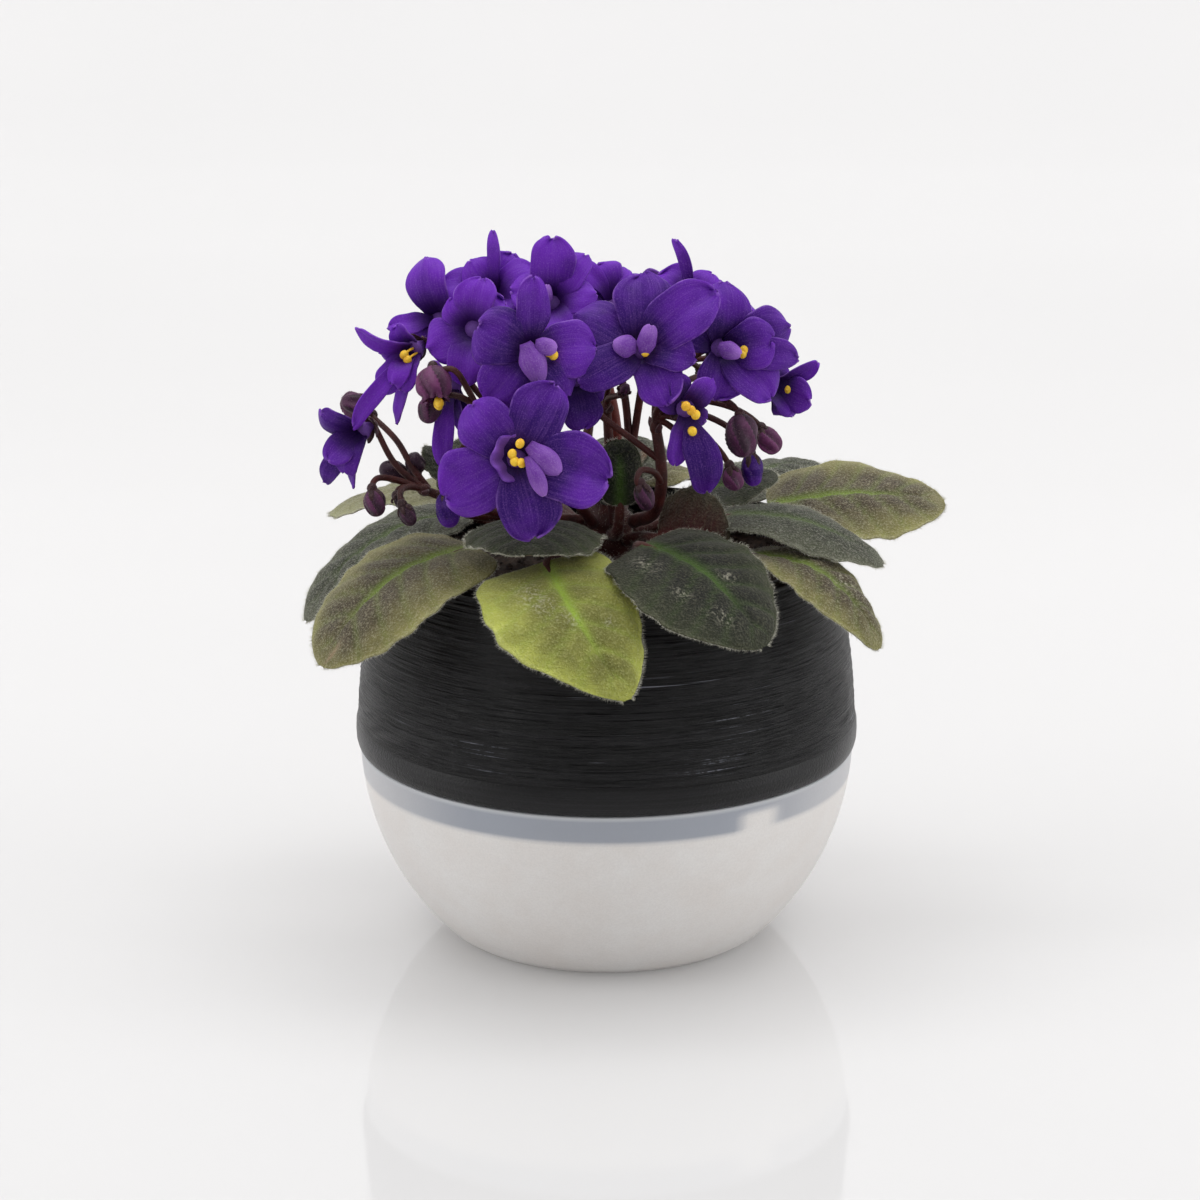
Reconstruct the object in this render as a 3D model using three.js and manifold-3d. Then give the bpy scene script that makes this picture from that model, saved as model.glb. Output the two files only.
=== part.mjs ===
// African violet in a two-part self-watering pot.
// Millimetres, +Z up, front is -Y, origin at the centre of the bowl's flat foot.
import * as THREE from 'three';
import { mergeVertices } from 'three/addons/utils/BufferGeometryUtils.js';
import Module from 'manifold-3d';

const wasm = await Module();
wasm.setup();

// Pot
const BOWL_RADIUS = 64.2;
const BOWL_CENTRE_Z = 54;
const BOWL_DEPTH = 68.5;
const FOOT_RADIUS = 37.5;
const FOOT_CURVE_Z = 2.4;
const FOOT_EDGE = [2.2, 0.7];
const BOWL_WALL = 2.2;
const BOWL_WALL_STEPS = 7;
const BOWL_INSIDE_STEPS = 5;
const BOWL_INSIDE_FLOOR_Z = 3;
const BOWL_INSIDE_CURVE_Z = 7.8;
const BORDER_Z = 51.3;
const SEAT_GAP = 0.3;
const BAND_HEIGHT = 7;
const BAND_RADIUS = 65.2;
const RIM_Z = 104.3;
const RIM_RADIUS = 57.6;
const SHELL_WALL = 2.4;
const SHELL_BULGE = 1.5;
const GROOVE_COUNT = 5;
const GROOVE_DEPTH = 0.5;
const GROOVE_CREST_SHARE = 0.65;
const LIP_ROUNDING = 0.8;
const SKIRT_DEPTH = 8;
const SKIRT_RADIUS = 60.2;
const SKIRT_WALL = 2;
const FLOOR_Z = 48;
const FLOOR_THICKNESS = 2.4;
const NOTCH_WIDTH = 10;
const NOTCH_HEIGHT = 5;
const NOTCH_AZIMUTH = -53;
const DRAIN_HOLES = 8;
const DRAIN_RADIUS = 2.5;
const DRAIN_CIRCLE = 34;
const POT_SEGMENTS = 28;

// Soil and crown
const SOIL_TOP_Z = 97;
const SOIL_CLEARANCE = 0.4;
const SOIL_BUMP = 1.2;
const SOIL_WAVE_RATES = [0.31, 0.27];
const SOIL_WAVE_STARTS = [1.3, -0.6];
const SOIL_SEGMENTS = 28;
const CROWN_RADIUS = 7;
const CROWN_BOTTOM_Z = 84;
const CROWN_TOP_Z = 118;
const STALK_ROOT_Z = 111;
const ROOT_GAP = 0.8;
const CROWN_HOLE_RADIUS = 7.8;
const YOUNG_LEAF_AZIMUTHS = [15, 150, 235];
const YOUNG_LEAF_LENGTH = 15;
const YOUNG_LEAF_WIDTH = 8;
const YOUNG_LEAF_FOOT = 3;
const YOUNG_LEAF_LEAN = 9;

// Plant
const LEAF_THICKNESS = 1.1;
const LEAF_ROWS = 6;
const LEAF_COLUMNS = 4;
const SMALL_LEAF = 12;
const LEAF_EDGE_WAVE = 0.9;
const EDGE_WAVE_RATE = 14.7;
const EDGE_WAVE_STARTS = [2.6, 1];
const PLAIN_ROUNDNESS = [0.5, 0.58];
const LEAST_WIDTH_SHARE = 0.06;
const PETIOLE_RADIUS = 1.7;
const PETIOLE_LIFT = 0.35;
const PETIOLE_PULL = 0.35;
const BLADE_SEAT_SHARE = 0.03;
const MIDRIB_RADIUS = 0.9;
const MIDRIB_REACH = 0.25;
const PETAL_THICKNESS = 0.8;
const LOBE_STEPS = 4;
const LOBE_BLUNTNESS = 2.6;
const LOBE_SLOPE = 0.4;
const LOBE_BOW = 1.2;
const LOBE_WIDEST_SHARE = 0.62;
const LOBE_GAP_ANGLE = 0.07;
const SHORTEST_LOBE = 5;
const LEAST_NOTCH = 4.5;
const WIDE_GAP_ANGLE = 1.4;
const GAP_REACH = 3.6;
const PETALOID_CURL = 0.5;
const PETALOID_FOOT_RADIUS = 1.2;
const ANTHER_HEIGHT = 2.6;
const ANTHER_LENGTH = 3.2;
const ANTHER_RADIUS = 1.25;
const ANTHER_SPREAD = 0.9;
const FILAMENT_RADII = [0.35, 0.7];
const FILAMENT_FOOT = 1.2;
const THROAT_DEPTH = 3.6;
const THROAT_RADIUS = 2.8;
const THROAT_RING_HEIGHT = -0.6;
const NOTCH_SHARE = 0.45;
const CALYX_SETBACK = 4.7;
const SEPAL_LENGTH = 4.2;
const SEPAL_NOTCH = 1.5;
const SEPAL_BACK = 0.4;
const CALYX_CUP_DEPTH = 2.4;
const FORK_LENGTH = 4;
const FORK_RADIUS = 1.7;
const PEDUNCLE_RADIUS = 1.5;
const STALK_ROOT_GAP = PEDUNCLE_RADIUS + 0.4;
const PEDICEL_RADIUS = 0.75;
const STALK_SIDES = 4;
const PEDICEL_SIDES = 3;
const BUD_SEAT_SHARE = 0.35;
const BRANCH_PULL = 0.4;
const BRANCH_STEPS = 4;

const radians = THREE.MathUtils.degToRad;
const vector = (list) => new THREE.Vector3(...list);
const UP = new THREE.Vector3(0, 0, 1);

const plastic = (color, roughness, opacity = 1) =>
  new THREE.MeshStandardMaterial({ color, roughness, metalness: 0, opacity, transparent: opacity < 1 });
const bowlMaterial = plastic(0xdcdcda, 0.35, 0.55);
const shellMaterial = plastic(0x18181a, 0.55);
const soilMaterial = plastic(0x2c2019, 0.95);
const crownMaterial = plastic(0x5a3a2a, 0.7);
const stalkMaterial = plastic(0x55242c, 0.6);
const bloomMaterial = plastic(0x4a1499, 0.5);
const antherMaterial = plastic(0xf2c81e, 0.5);
const leafMaterials = {
  olive: plastic(0x6e7a3a, 0.7),
  lime: plastic(0x8f9f3c, 0.7),
  dark: plastic(0x3c4a33, 0.75),
  grey: plastic(0x5d6c50, 0.75),
};

// Merges equal vertices, drops faces without area and turns the faces outwards.
function cleaned(geometry) {
  const bare = new THREE.BufferGeometry();
  bare.setAttribute('position', geometry.getAttribute('position'));
  bare.setIndex(geometry.index);
  const merged = mergeVertices(bare, 1e-4);
  const position = merged.attributes.position.array;
  const index = [];
  const source = merged.index.array;
  for (let i = 0; i < source.length; i += 3) {
    const [a, b, c] = [source[i], source[i + 1], source[i + 2]];
    if (a !== b && b !== c && c !== a) {
      index.push(a, b, c);
    }
  }
  const corner = (k) => new THREE.Vector3().fromArray(position, index[k] * 3);
  let volume = 0;
  for (let i = 0; i < index.length; i += 3) {
    volume += corner(i).dot(corner(i + 1).cross(corner(i + 2)));
  }
  if (volume < 0) {
    index.reverse();
  }
  merged.setIndex(index);
  return merged;
}

function solidOf(geometry) {
  const shape = cleaned(geometry);
  const mesh = new wasm.Mesh({
    numProp: 3,
    vertProperties: new Float32Array(shape.attributes.position.array),
    triVerts: new Uint32Array(shape.index.array),
  });
  return new wasm.Manifold(mesh);
}

function geometryOf(solid) {
  const mesh = solid.getMesh();
  const geometry = new THREE.BufferGeometry();
  geometry.setAttribute('position', new THREE.BufferAttribute(mesh.vertProperties, 3));
  geometry.setIndex(new THREE.BufferAttribute(mesh.triVerts, 1));
  return geometry;
}

const joined = (geometries) => geometryOf(geometries.map(solidOf).reduce((whole, part) => whole.add(part)));

function fromLists(points, faces) {
  const geometry = new THREE.BufferGeometry();
  geometry.setAttribute('position', new THREE.Float32BufferAttribute(points.flatMap((p) => p.toArray()), 3));
  geometry.setIndex(faces);
  return geometry;
}

const group = new THREE.Group();
function piece(name, geometry, material) {
  const shape = cleaned(geometry);
  shape.computeVertexNormals();
  const mesh = new THREE.Mesh(shape, material);
  mesh.name = name;
  group.add(mesh);
  return mesh;
}

// A turned solid: the profile holds [radius, height] pairs, from the axis round to the axis.
function turned(profile, segments) {
  const points = profile.map(([r, z]) => new THREE.Vector2(r, z));
  return new THREE.LatheGeometry(points, segments).rotateX(Math.PI / 2);
}

// Radius of the bowl's outside at a height: half an upright ellipse, a little deeper than a ball.
const bowlRadius = (z) => BOWL_RADIUS * Math.sqrt(1 - ((BOWL_CENTRE_Z - z) / BOWL_DEPTH) ** 2);

// Evenly spread heights from one to another, both ends included.
const heights = (from, to, steps) =>
  Array.from({ length: steps + 1 }, (_, i) => from + ((to - from) * i) / steps);

function reservoirBowl() {
  const rimZ = BORDER_Z - SEAT_GAP;
  const wall = (from, to, steps, inset) =>
    heights(Math.sqrt(from), Math.sqrt(to), steps).map((root) => [bowlRadius(root ** 2) - inset, root ** 2]);
  const outside = wall(FOOT_CURVE_Z, rimZ, BOWL_WALL_STEPS, 0);
  const inside = wall(rimZ, BOWL_INSIDE_CURVE_Z, BOWL_INSIDE_STEPS, BOWL_WALL);
  const foot = [[0, 0], [FOOT_RADIUS, 0], [FOOT_RADIUS + FOOT_EDGE[0], FOOT_EDGE[1]]];
  const bottom = [[FOOT_RADIUS, BOWL_INSIDE_FLOOR_Z], [0, BOWL_INSIDE_FLOOR_Z]];
  return turned([...foot, ...outside, ...inside, ...bottom], POT_SEGMENTS);
}

// Radius of the shell's grooved wall at a height: a straight taper that bulges a little.
function shellRadius(z) {
  const low = BORDER_Z + BAND_HEIGHT;
  const share = (z - low) / (RIM_Z - low);
  const straight = THREE.MathUtils.lerp(BAND_RADIUS - 0.4, RIM_RADIUS, share);
  return straight + SHELL_BULGE * 4 * share * (1 - share);
}

function planterShell() {
  const bandTop = BORDER_Z + BAND_HEIGHT;
  const skirtZ = BORDER_Z - SKIRT_DEPTH;
  const band = [
    [BAND_RADIUS - 0.5, BORDER_Z],
    [BAND_RADIUS, BORDER_Z + BAND_HEIGHT / 2],
    [BAND_RADIUS - 0.2, bandTop],
  ];
  const pitch = (RIM_Z - 2 - bandTop) / GROOVE_COUNT;
  const grooves = [];
  for (let i = 0; i < GROOVE_COUNT; i += 1) {
    const z = bandTop + i * pitch;
    grooves.push([shellRadius(z + 0.5) - GROOVE_DEPTH, z + 0.5]);
    const crest = z + GROOVE_CREST_SHARE * pitch;
    grooves.push([shellRadius(crest), crest]);
  }
  const lip = [
    [RIM_RADIUS, RIM_Z - LIP_ROUNDING],
    [RIM_RADIUS - LIP_ROUNDING, RIM_Z],
    [RIM_RADIUS - SHELL_WALL + LIP_ROUNDING, RIM_Z],
    [RIM_RADIUS - SHELL_WALL, RIM_Z - LIP_ROUNDING],
  ];
  const middleZ = (RIM_Z + FLOOR_Z) / 2;
  const inside = [
    [shellRadius(middleZ) - SHELL_WALL, middleZ],
    [SKIRT_RADIUS - SKIRT_WALL, BORDER_Z + 3],
    [SKIRT_RADIUS - SKIRT_WALL, FLOOR_Z],
    [0, FLOOR_Z],
  ];
  const underside = [
    [0, FLOOR_Z - FLOOR_THICKNESS],
    [SKIRT_RADIUS - SKIRT_WALL, FLOOR_Z - FLOOR_THICKNESS],
    [SKIRT_RADIUS - SKIRT_WALL, skirtZ],
    [SKIRT_RADIUS, skirtZ],
    [SKIRT_RADIUS, BORDER_Z],
  ];
  const body = turned([...underside, ...band, ...grooves, ...lip, ...inside], POT_SEGMENTS);
  let solid = solidOf(body);
  for (let i = 0; i < DRAIN_HOLES; i += 1) {
    const angle = (2 * Math.PI * (i + 0.5)) / DRAIN_HOLES;
    const hole = new THREE.CylinderGeometry(DRAIN_RADIUS, DRAIN_RADIUS, 3 * FLOOR_THICKNESS, 8);
    hole.rotateX(Math.PI / 2);
    hole.translate(DRAIN_CIRCLE * Math.cos(angle), DRAIN_CIRCLE * Math.sin(angle), FLOOR_Z);
    solid = solid.subtract(solidOf(hole));
  }
  const notch = new THREE.BoxGeometry(4 * SKIRT_WALL, NOTCH_WIDTH, 2 * NOTCH_HEIGHT);
  notch.translate(SKIRT_RADIUS, 0, skirtZ).rotateZ(radians(NOTCH_AZIMUTH));
  return geometryOf(solid.subtract(solidOf(notch)));
}

// The soil fills the planter, with a plain hole for the crown. Its top is uneven: two slow waves.
function soil() {
  const middleZ = (RIM_Z + FLOOR_Z) / 2;
  const low = SKIRT_RADIUS - SKIRT_WALL - SOIL_CLEARANCE;
  const middle = shellRadius(middleZ) - SHELL_WALL - SOIL_CLEARANCE;
  const top = RIM_RADIUS - SHELL_WALL - SOIL_CLEARANCE;
  const profile = [
    [0, FLOOR_Z + SEAT_GAP],
    [low, FLOOR_Z + SEAT_GAP],
    [low, BORDER_Z + 2],
    [middle, middleZ],
    [top, SOIL_TOP_Z - 1],
    [0.8 * top, SOIL_TOP_Z],
    [0.5 * top, SOIL_TOP_Z],
    [CROWN_HOLE_RADIUS, SOIL_TOP_Z],
    [CROWN_HOLE_RADIUS, CROWN_BOTTOM_Z],
    [0, CROWN_BOTTOM_Z],
  ];
  const geometry = cleaned(turned(profile, SOIL_SEGMENTS));
  const position = geometry.attributes.position;
  for (let i = 0; i < position.count; i += 1) {
    const [x, y, z] = [position.getX(i), position.getY(i), position.getZ(i)];
    if (z > SOIL_TOP_Z - 0.5 && Math.hypot(x, y) > CROWN_HOLE_RADIUS + 1) {
      const alongX = Math.sin(SOIL_WAVE_RATES[0] * x + SOIL_WAVE_STARTS[0]);
      const alongY = Math.cos(SOIL_WAVE_RATES[1] * y + SOIL_WAVE_STARTS[1]);
      position.setZ(i, z + SOIL_BUMP * alongX * alongY);
    }
  }
  return geometry;
}

// The crown with the youngest leaves, which still stand upright on its top.
function crown() {
  const profile = [
    [0, CROWN_BOTTOM_Z + SEAT_GAP],
    [CROWN_RADIUS * 0.8, CROWN_BOTTOM_Z + SEAT_GAP],
    [CROWN_RADIUS, SOIL_TOP_Z - 3],
    [CROWN_RADIUS, CROWN_TOP_Z - 6],
    [CROWN_RADIUS * 0.6, CROWN_TOP_Z - 1.5],
    [0, CROWN_TOP_Z],
  ];
  const young = YOUNG_LEAF_AZIMUTHS.map((azimuth) => {
    const away = new THREE.Vector3(1, 0, 0).applyAxisAngle(UP, radians(azimuth));
    const across = new THREE.Vector3().crossVectors(UP, away);
    const pointAt = (s, t) =>
      away.clone()
        .multiplyScalar(YOUNG_LEAF_FOOT + YOUNG_LEAF_LEAN * s * s)
        .addScaledVector(UP, CROWN_TOP_Z - 5 + YOUNG_LEAF_LENGTH * s)
        .addScaledVector(across, t * YOUNG_LEAF_WIDTH * (0.25 + Math.sin(Math.PI * 0.85 * s)) * 0.5);
    return sheetSolid(pointAt, 4, 2, away, LEAF_THICKNESS);
  });
  return joined([turned(profile, 12), ...young]);
}

// A thin sheet over a grid of middle points, thickened along one direction, so that both faces are
// split into triangles alike.
function sheetSolid(pointAt, rows, columns, normal, thickness) {
  const half = normal.clone().multiplyScalar(thickness / 2);
  const points = [];
  for (const sign of [1, -1]) {
    for (let i = 0; i <= rows; i += 1) {
      for (let j = 0; j <= columns; j += 1) {
        points.push(pointAt(i / rows, (2 * j) / columns - 1).addScaledVector(half, sign));
      }
    }
  }
  const at = (side, i, j) => side * (rows + 1) * (columns + 1) + i * (columns + 1) + j;
  const faces = [];
  for (let i = 0; i < rows; i += 1) {
    for (let j = 0; j < columns; j += 1) {
      faces.push(at(0, i, j), at(0, i + 1, j), at(0, i + 1, j + 1));
      faces.push(at(0, i, j), at(0, i + 1, j + 1), at(0, i, j + 1));
      faces.push(at(1, i, j), at(1, i + 1, j + 1), at(1, i + 1, j));
      faces.push(at(1, i, j), at(1, i, j + 1), at(1, i + 1, j + 1));
    }
  }
  const border = [];
  for (let j = 0; j < columns; j += 1) border.push([0, j]);
  for (let i = 0; i < rows; i += 1) border.push([i, columns]);
  for (let j = columns; j > 0; j -= 1) border.push([rows, j]);
  for (let i = rows; i > 0; i -= 1) border.push([i, 0]);
  border.forEach(([i, j], k) => {
    const [m, n] = border[(k + 1) % border.length];
    faces.push(at(0, i, j), at(0, m, n), at(1, m, n));
    faces.push(at(0, i, j), at(1, m, n), at(1, i, j));
  });
  return fromLists(points, faces);
}

// A closed tube of flat sides along a curve, thinner towards its end.
function tubeSolid(curve, steps, startRadius, endRadius, sides) {
  const frames = curve.computeFrenetFrames(steps, false);
  const points = [curve.getPointAt(0)];
  for (let i = 0; i <= steps; i += 1) {
    const centre = curve.getPointAt(i / steps);
    const radius = THREE.MathUtils.lerp(startRadius, endRadius, i / steps);
    for (let k = 0; k < sides; k += 1) {
      const angle = (2 * Math.PI * k) / sides;
      const across = frames.normals[i].clone().multiplyScalar(radius * Math.cos(angle));
      points.push(centre.clone().add(across).addScaledVector(frames.binormals[i], radius * Math.sin(angle)));
    }
  }
  points.push(curve.getPointAt(1));
  const at = (i, k) => 1 + i * sides + (k % sides);
  const last = points.length - 1;
  const faces = [];
  for (let k = 0; k < sides; k += 1) {
    faces.push(0, at(0, k + 1), at(0, k), last, at(steps, k), at(steps, k + 1));
    for (let i = 0; i < steps; i += 1) {
      faces.push(at(i, k), at(i, k + 1), at(i + 1, k + 1), at(i, k), at(i + 1, k + 1), at(i + 1, k));
    }
  }
  return fromLists(points, faces);
}

// A smooth egg whose long axis follows a direction.
function eggSolid(centre, direction, length, radius, sides, rings) {
  const egg = new THREE.SphereGeometry(1, sides, rings);
  const poleAxis = new THREE.Vector3(0, 1, 0);
  const turn = new THREE.Quaternion().setFromUnitVectors(poleAxis, direction.clone().normalize());
  egg.scale(radius, length / 2, radius);
  egg.applyQuaternion(turn);
  egg.translate(...centre.toArray());
  return egg;
}

// Leaves: base and tip of the blade, half width, arch of the midrib, roll about it, sideways bend, drop
// of the edges, and the root's azimuth and height on the crown. Where a blade isn't plain: skew makes one
// half of it wider, and round holds the powers that round its base and tip.
const LOW_TIER_Z = 100.5;
const LEAVES = [
  { name: 'front_left', tint: 'olive', base: [-33, -25, 109.5], tip: [-71, -47, 85], half: 22,
    arch: 8, roll: -2, drop: 3, root: 212, rootZ: LOW_TIER_Z },
  { name: 'left', tint: 'grey', base: [-36, 4.4, 110.4], tip: [-77, -14, 87], half: 14.4,
    arch: 8, roll: 0, drop: 2, root: 182, rootZ: LOW_TIER_Z },
  { name: 'front', tint: 'lime', base: [-15, -47, 112], tip: [5, -78, 86], half: 19.5,
    arch: 9, roll: 10, bend: -5, drop: 2, root: 262, rootZ: LOW_TIER_Z, skew: -0.08, round: [0.44, 0.7] },
  { name: 'front_right', tint: 'dark', base: [9, -42, 115], tip: [38.5, -65, 95.5], half: 20,
    arch: 6, roll: 10, drop: 2, root: 291, rootZ: LOW_TIER_Z, skew: -0.1, round: [0.5, 0.64] },
  { name: 'right_low', tint: 'olive', base: [35, -26, 108], tip: [68, -42, 88], half: 13,
    arch: 8, roll: 0, drop: 2, root: 318, rootZ: LOW_TIER_Z },
  { name: 'right_grey', tint: 'grey', base: [29, -17, 115.6], tip: [70, -22, 104.2], half: 12,
    arch: 5, roll: 8, drop: 2, root: 342, rootZ: 103 },
  { name: 'right_far', tint: 'olive', base: [42, 10, 111], tip: [88, 14, 111], half: 20,
    arch: 3, roll: 14, drop: 2, root: 12, rootZ: LOW_TIER_Z },
  { name: 'back_right', tint: 'grey', base: [28, 32, 108], tip: [56, 56, 111], half: 16,
    arch: 2, roll: 0, drop: 2, root: 48, rootZ: LOW_TIER_Z },
  { name: 'back', tint: 'olive', base: [6, 44, 108], tip: [14, 84, 98], half: 18,
    arch: 5, roll: 0, drop: 2, root: 80, rootZ: LOW_TIER_Z },
  { name: 'back_middle_left', tint: 'dark', base: [-20, 38, 109], tip: [-38, 70, 102], half: 16,
    arch: 5, roll: 0, drop: 2, root: 115, rootZ: LOW_TIER_Z },
  { name: 'back_left', tint: 'grey', base: [-35, 22, 107], tip: [-69, 42, 103], half: 17,
    arch: 5, roll: 0, drop: 2, root: 148, rootZ: LOW_TIER_Z, round: [0.6, 0.3] },
  { name: 'over_front', tint: 'dark', base: [-17, -26, 116], tip: [-19, -62, 118], half: 17,
    arch: 3, roll: 0, drop: 3.4, root: 245, rootZ: 105 },
  { name: 'over_right', tint: 'dark', base: [21, 2, 114], tip: [44, 1, 121], half: 12,
    arch: 2, roll: 8, drop: 1, root: 5, rootZ: 106 },
  { name: 'heart_front', tint: 'dark', base: [13, -19, 110.5], tip: [31, -25, 112.5], half: 8,
    arch: 1.5, roll: 62, drop: 0.6, root: 312, rootZ: 106, skew: 0.62 },
  { name: 'heart_upright', tint: 'dark', base: [3.4, -16, 118], tip: [3.2, -12.5, 134.4], half: 5.8,
    arch: 1, roll: 0, drop: 1, root: 282, rootZ: 108, round: [0.5, 0.42] },
  { name: 'over_left', tint: 'dark', base: [-40, -7, 117], tip: [-46.6, -5, 130.6], half: 6,
    arch: 1.5, roll: 0, drop: 1, root: 184, rootZ: 106, round: [0.5, 0.45] },
  { name: 'over_back', tint: 'grey', base: [2, 26, 114], tip: [6, 54, 118], half: 13,
    arch: 3, roll: 0, drop: 2, root: 95, rootZ: 105 },
  { name: 'over_back_left', tint: 'grey', base: [-25, 16, 114], tip: [-38, 30, 124], half: 12,
    arch: 3, roll: 0, drop: 2, root: 140, rootZ: 106 },
];

// Relative half width along a blade: s^a (1 - s)^b over its own maximum; a rounds the base, b the tip.
function bladeOutline(leaf, s) {
  const [a, b] = leaf.round ?? PLAIN_ROUNDNESS;
  const widest = a / (a + b);
  const value = (s ** a * (1 - s) ** b) / (widest ** a * (1 - widest) ** b);
  return Math.max(value, LEAST_WIDTH_SHARE);
}

function leafSolid(leaf) {
  const base = vector(leaf.base);
  const tip = vector(leaf.tip);
  const along = tip.clone().sub(base);
  const axis = along.clone().normalize();
  const normal = UP.clone().addScaledVector(axis, -UP.dot(axis)).normalize();
  normal.applyAxisAngle(axis, radians(leaf.roll));
  const side = new THREE.Vector3().crossVectors(normal, axis);
  const spread = (u) => 0.5 - 0.5 * Math.cos(Math.PI * u);
  const centreAt = (s) =>
    base.clone()
      .addScaledVector(along, s)
      .addScaledVector(normal, leaf.arch * 4 * s * (1 - s))
      .addScaledVector(side, (leaf.bend ?? 0) * 4 * s * (1 - s));
  const pointAt = (u, t) => {
    const s = spread(u);
    const outline = bladeOutline(leaf, s);
    const across = t * leaf.half * outline * (1 + (leaf.skew ?? 0) * t);
    const ripple = LEAF_EDGE_WAVE * Math.sin(EDGE_WAVE_RATE * u + EDGE_WAVE_STARTS[t > 0 ? 1 : 0]) * t * t;
    const lift = (ripple - leaf.drop * t * t) * outline;
    return centreAt(s).addScaledVector(side, across).addScaledVector(normal, lift);
  };
  const rows = leaf.half < SMALL_LEAF ? LEAF_ROWS - 1 : LEAF_ROWS;
  const blade = sheetSolid(pointAt, rows, LEAF_COLUMNS, normal, LEAF_THICKNESS);
  const root = new THREE.Vector3(CROWN_RADIUS + ROOT_GAP, 0, leaf.rootZ);
  root.applyAxisAngle(UP, radians(leaf.root));
  const outward = new THREE.Vector3(1, 0, PETIOLE_LIFT).applyAxisAngle(UP, radians(leaf.root));
  const reach = root.distanceTo(base);
  const under = centreAt(MIDRIB_REACH).addScaledVector(normal, -LEAF_THICKNESS / 2);
  const sunkBase = centreAt(BLADE_SEAT_SHARE).addScaledVector(normal, -LEAF_THICKNESS / 2);
  const curve = new THREE.CatmullRomCurve3([
    root,
    root.clone().addScaledVector(outward, reach * PETIOLE_PULL),
    sunkBase,
    under,
  ]);
  const petiole = tubeSolid(curve, 4, PETIOLE_RADIUS, MIDRIB_RADIUS, STALK_SIDES);
  return joined([blade, petiole]);
}

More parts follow.
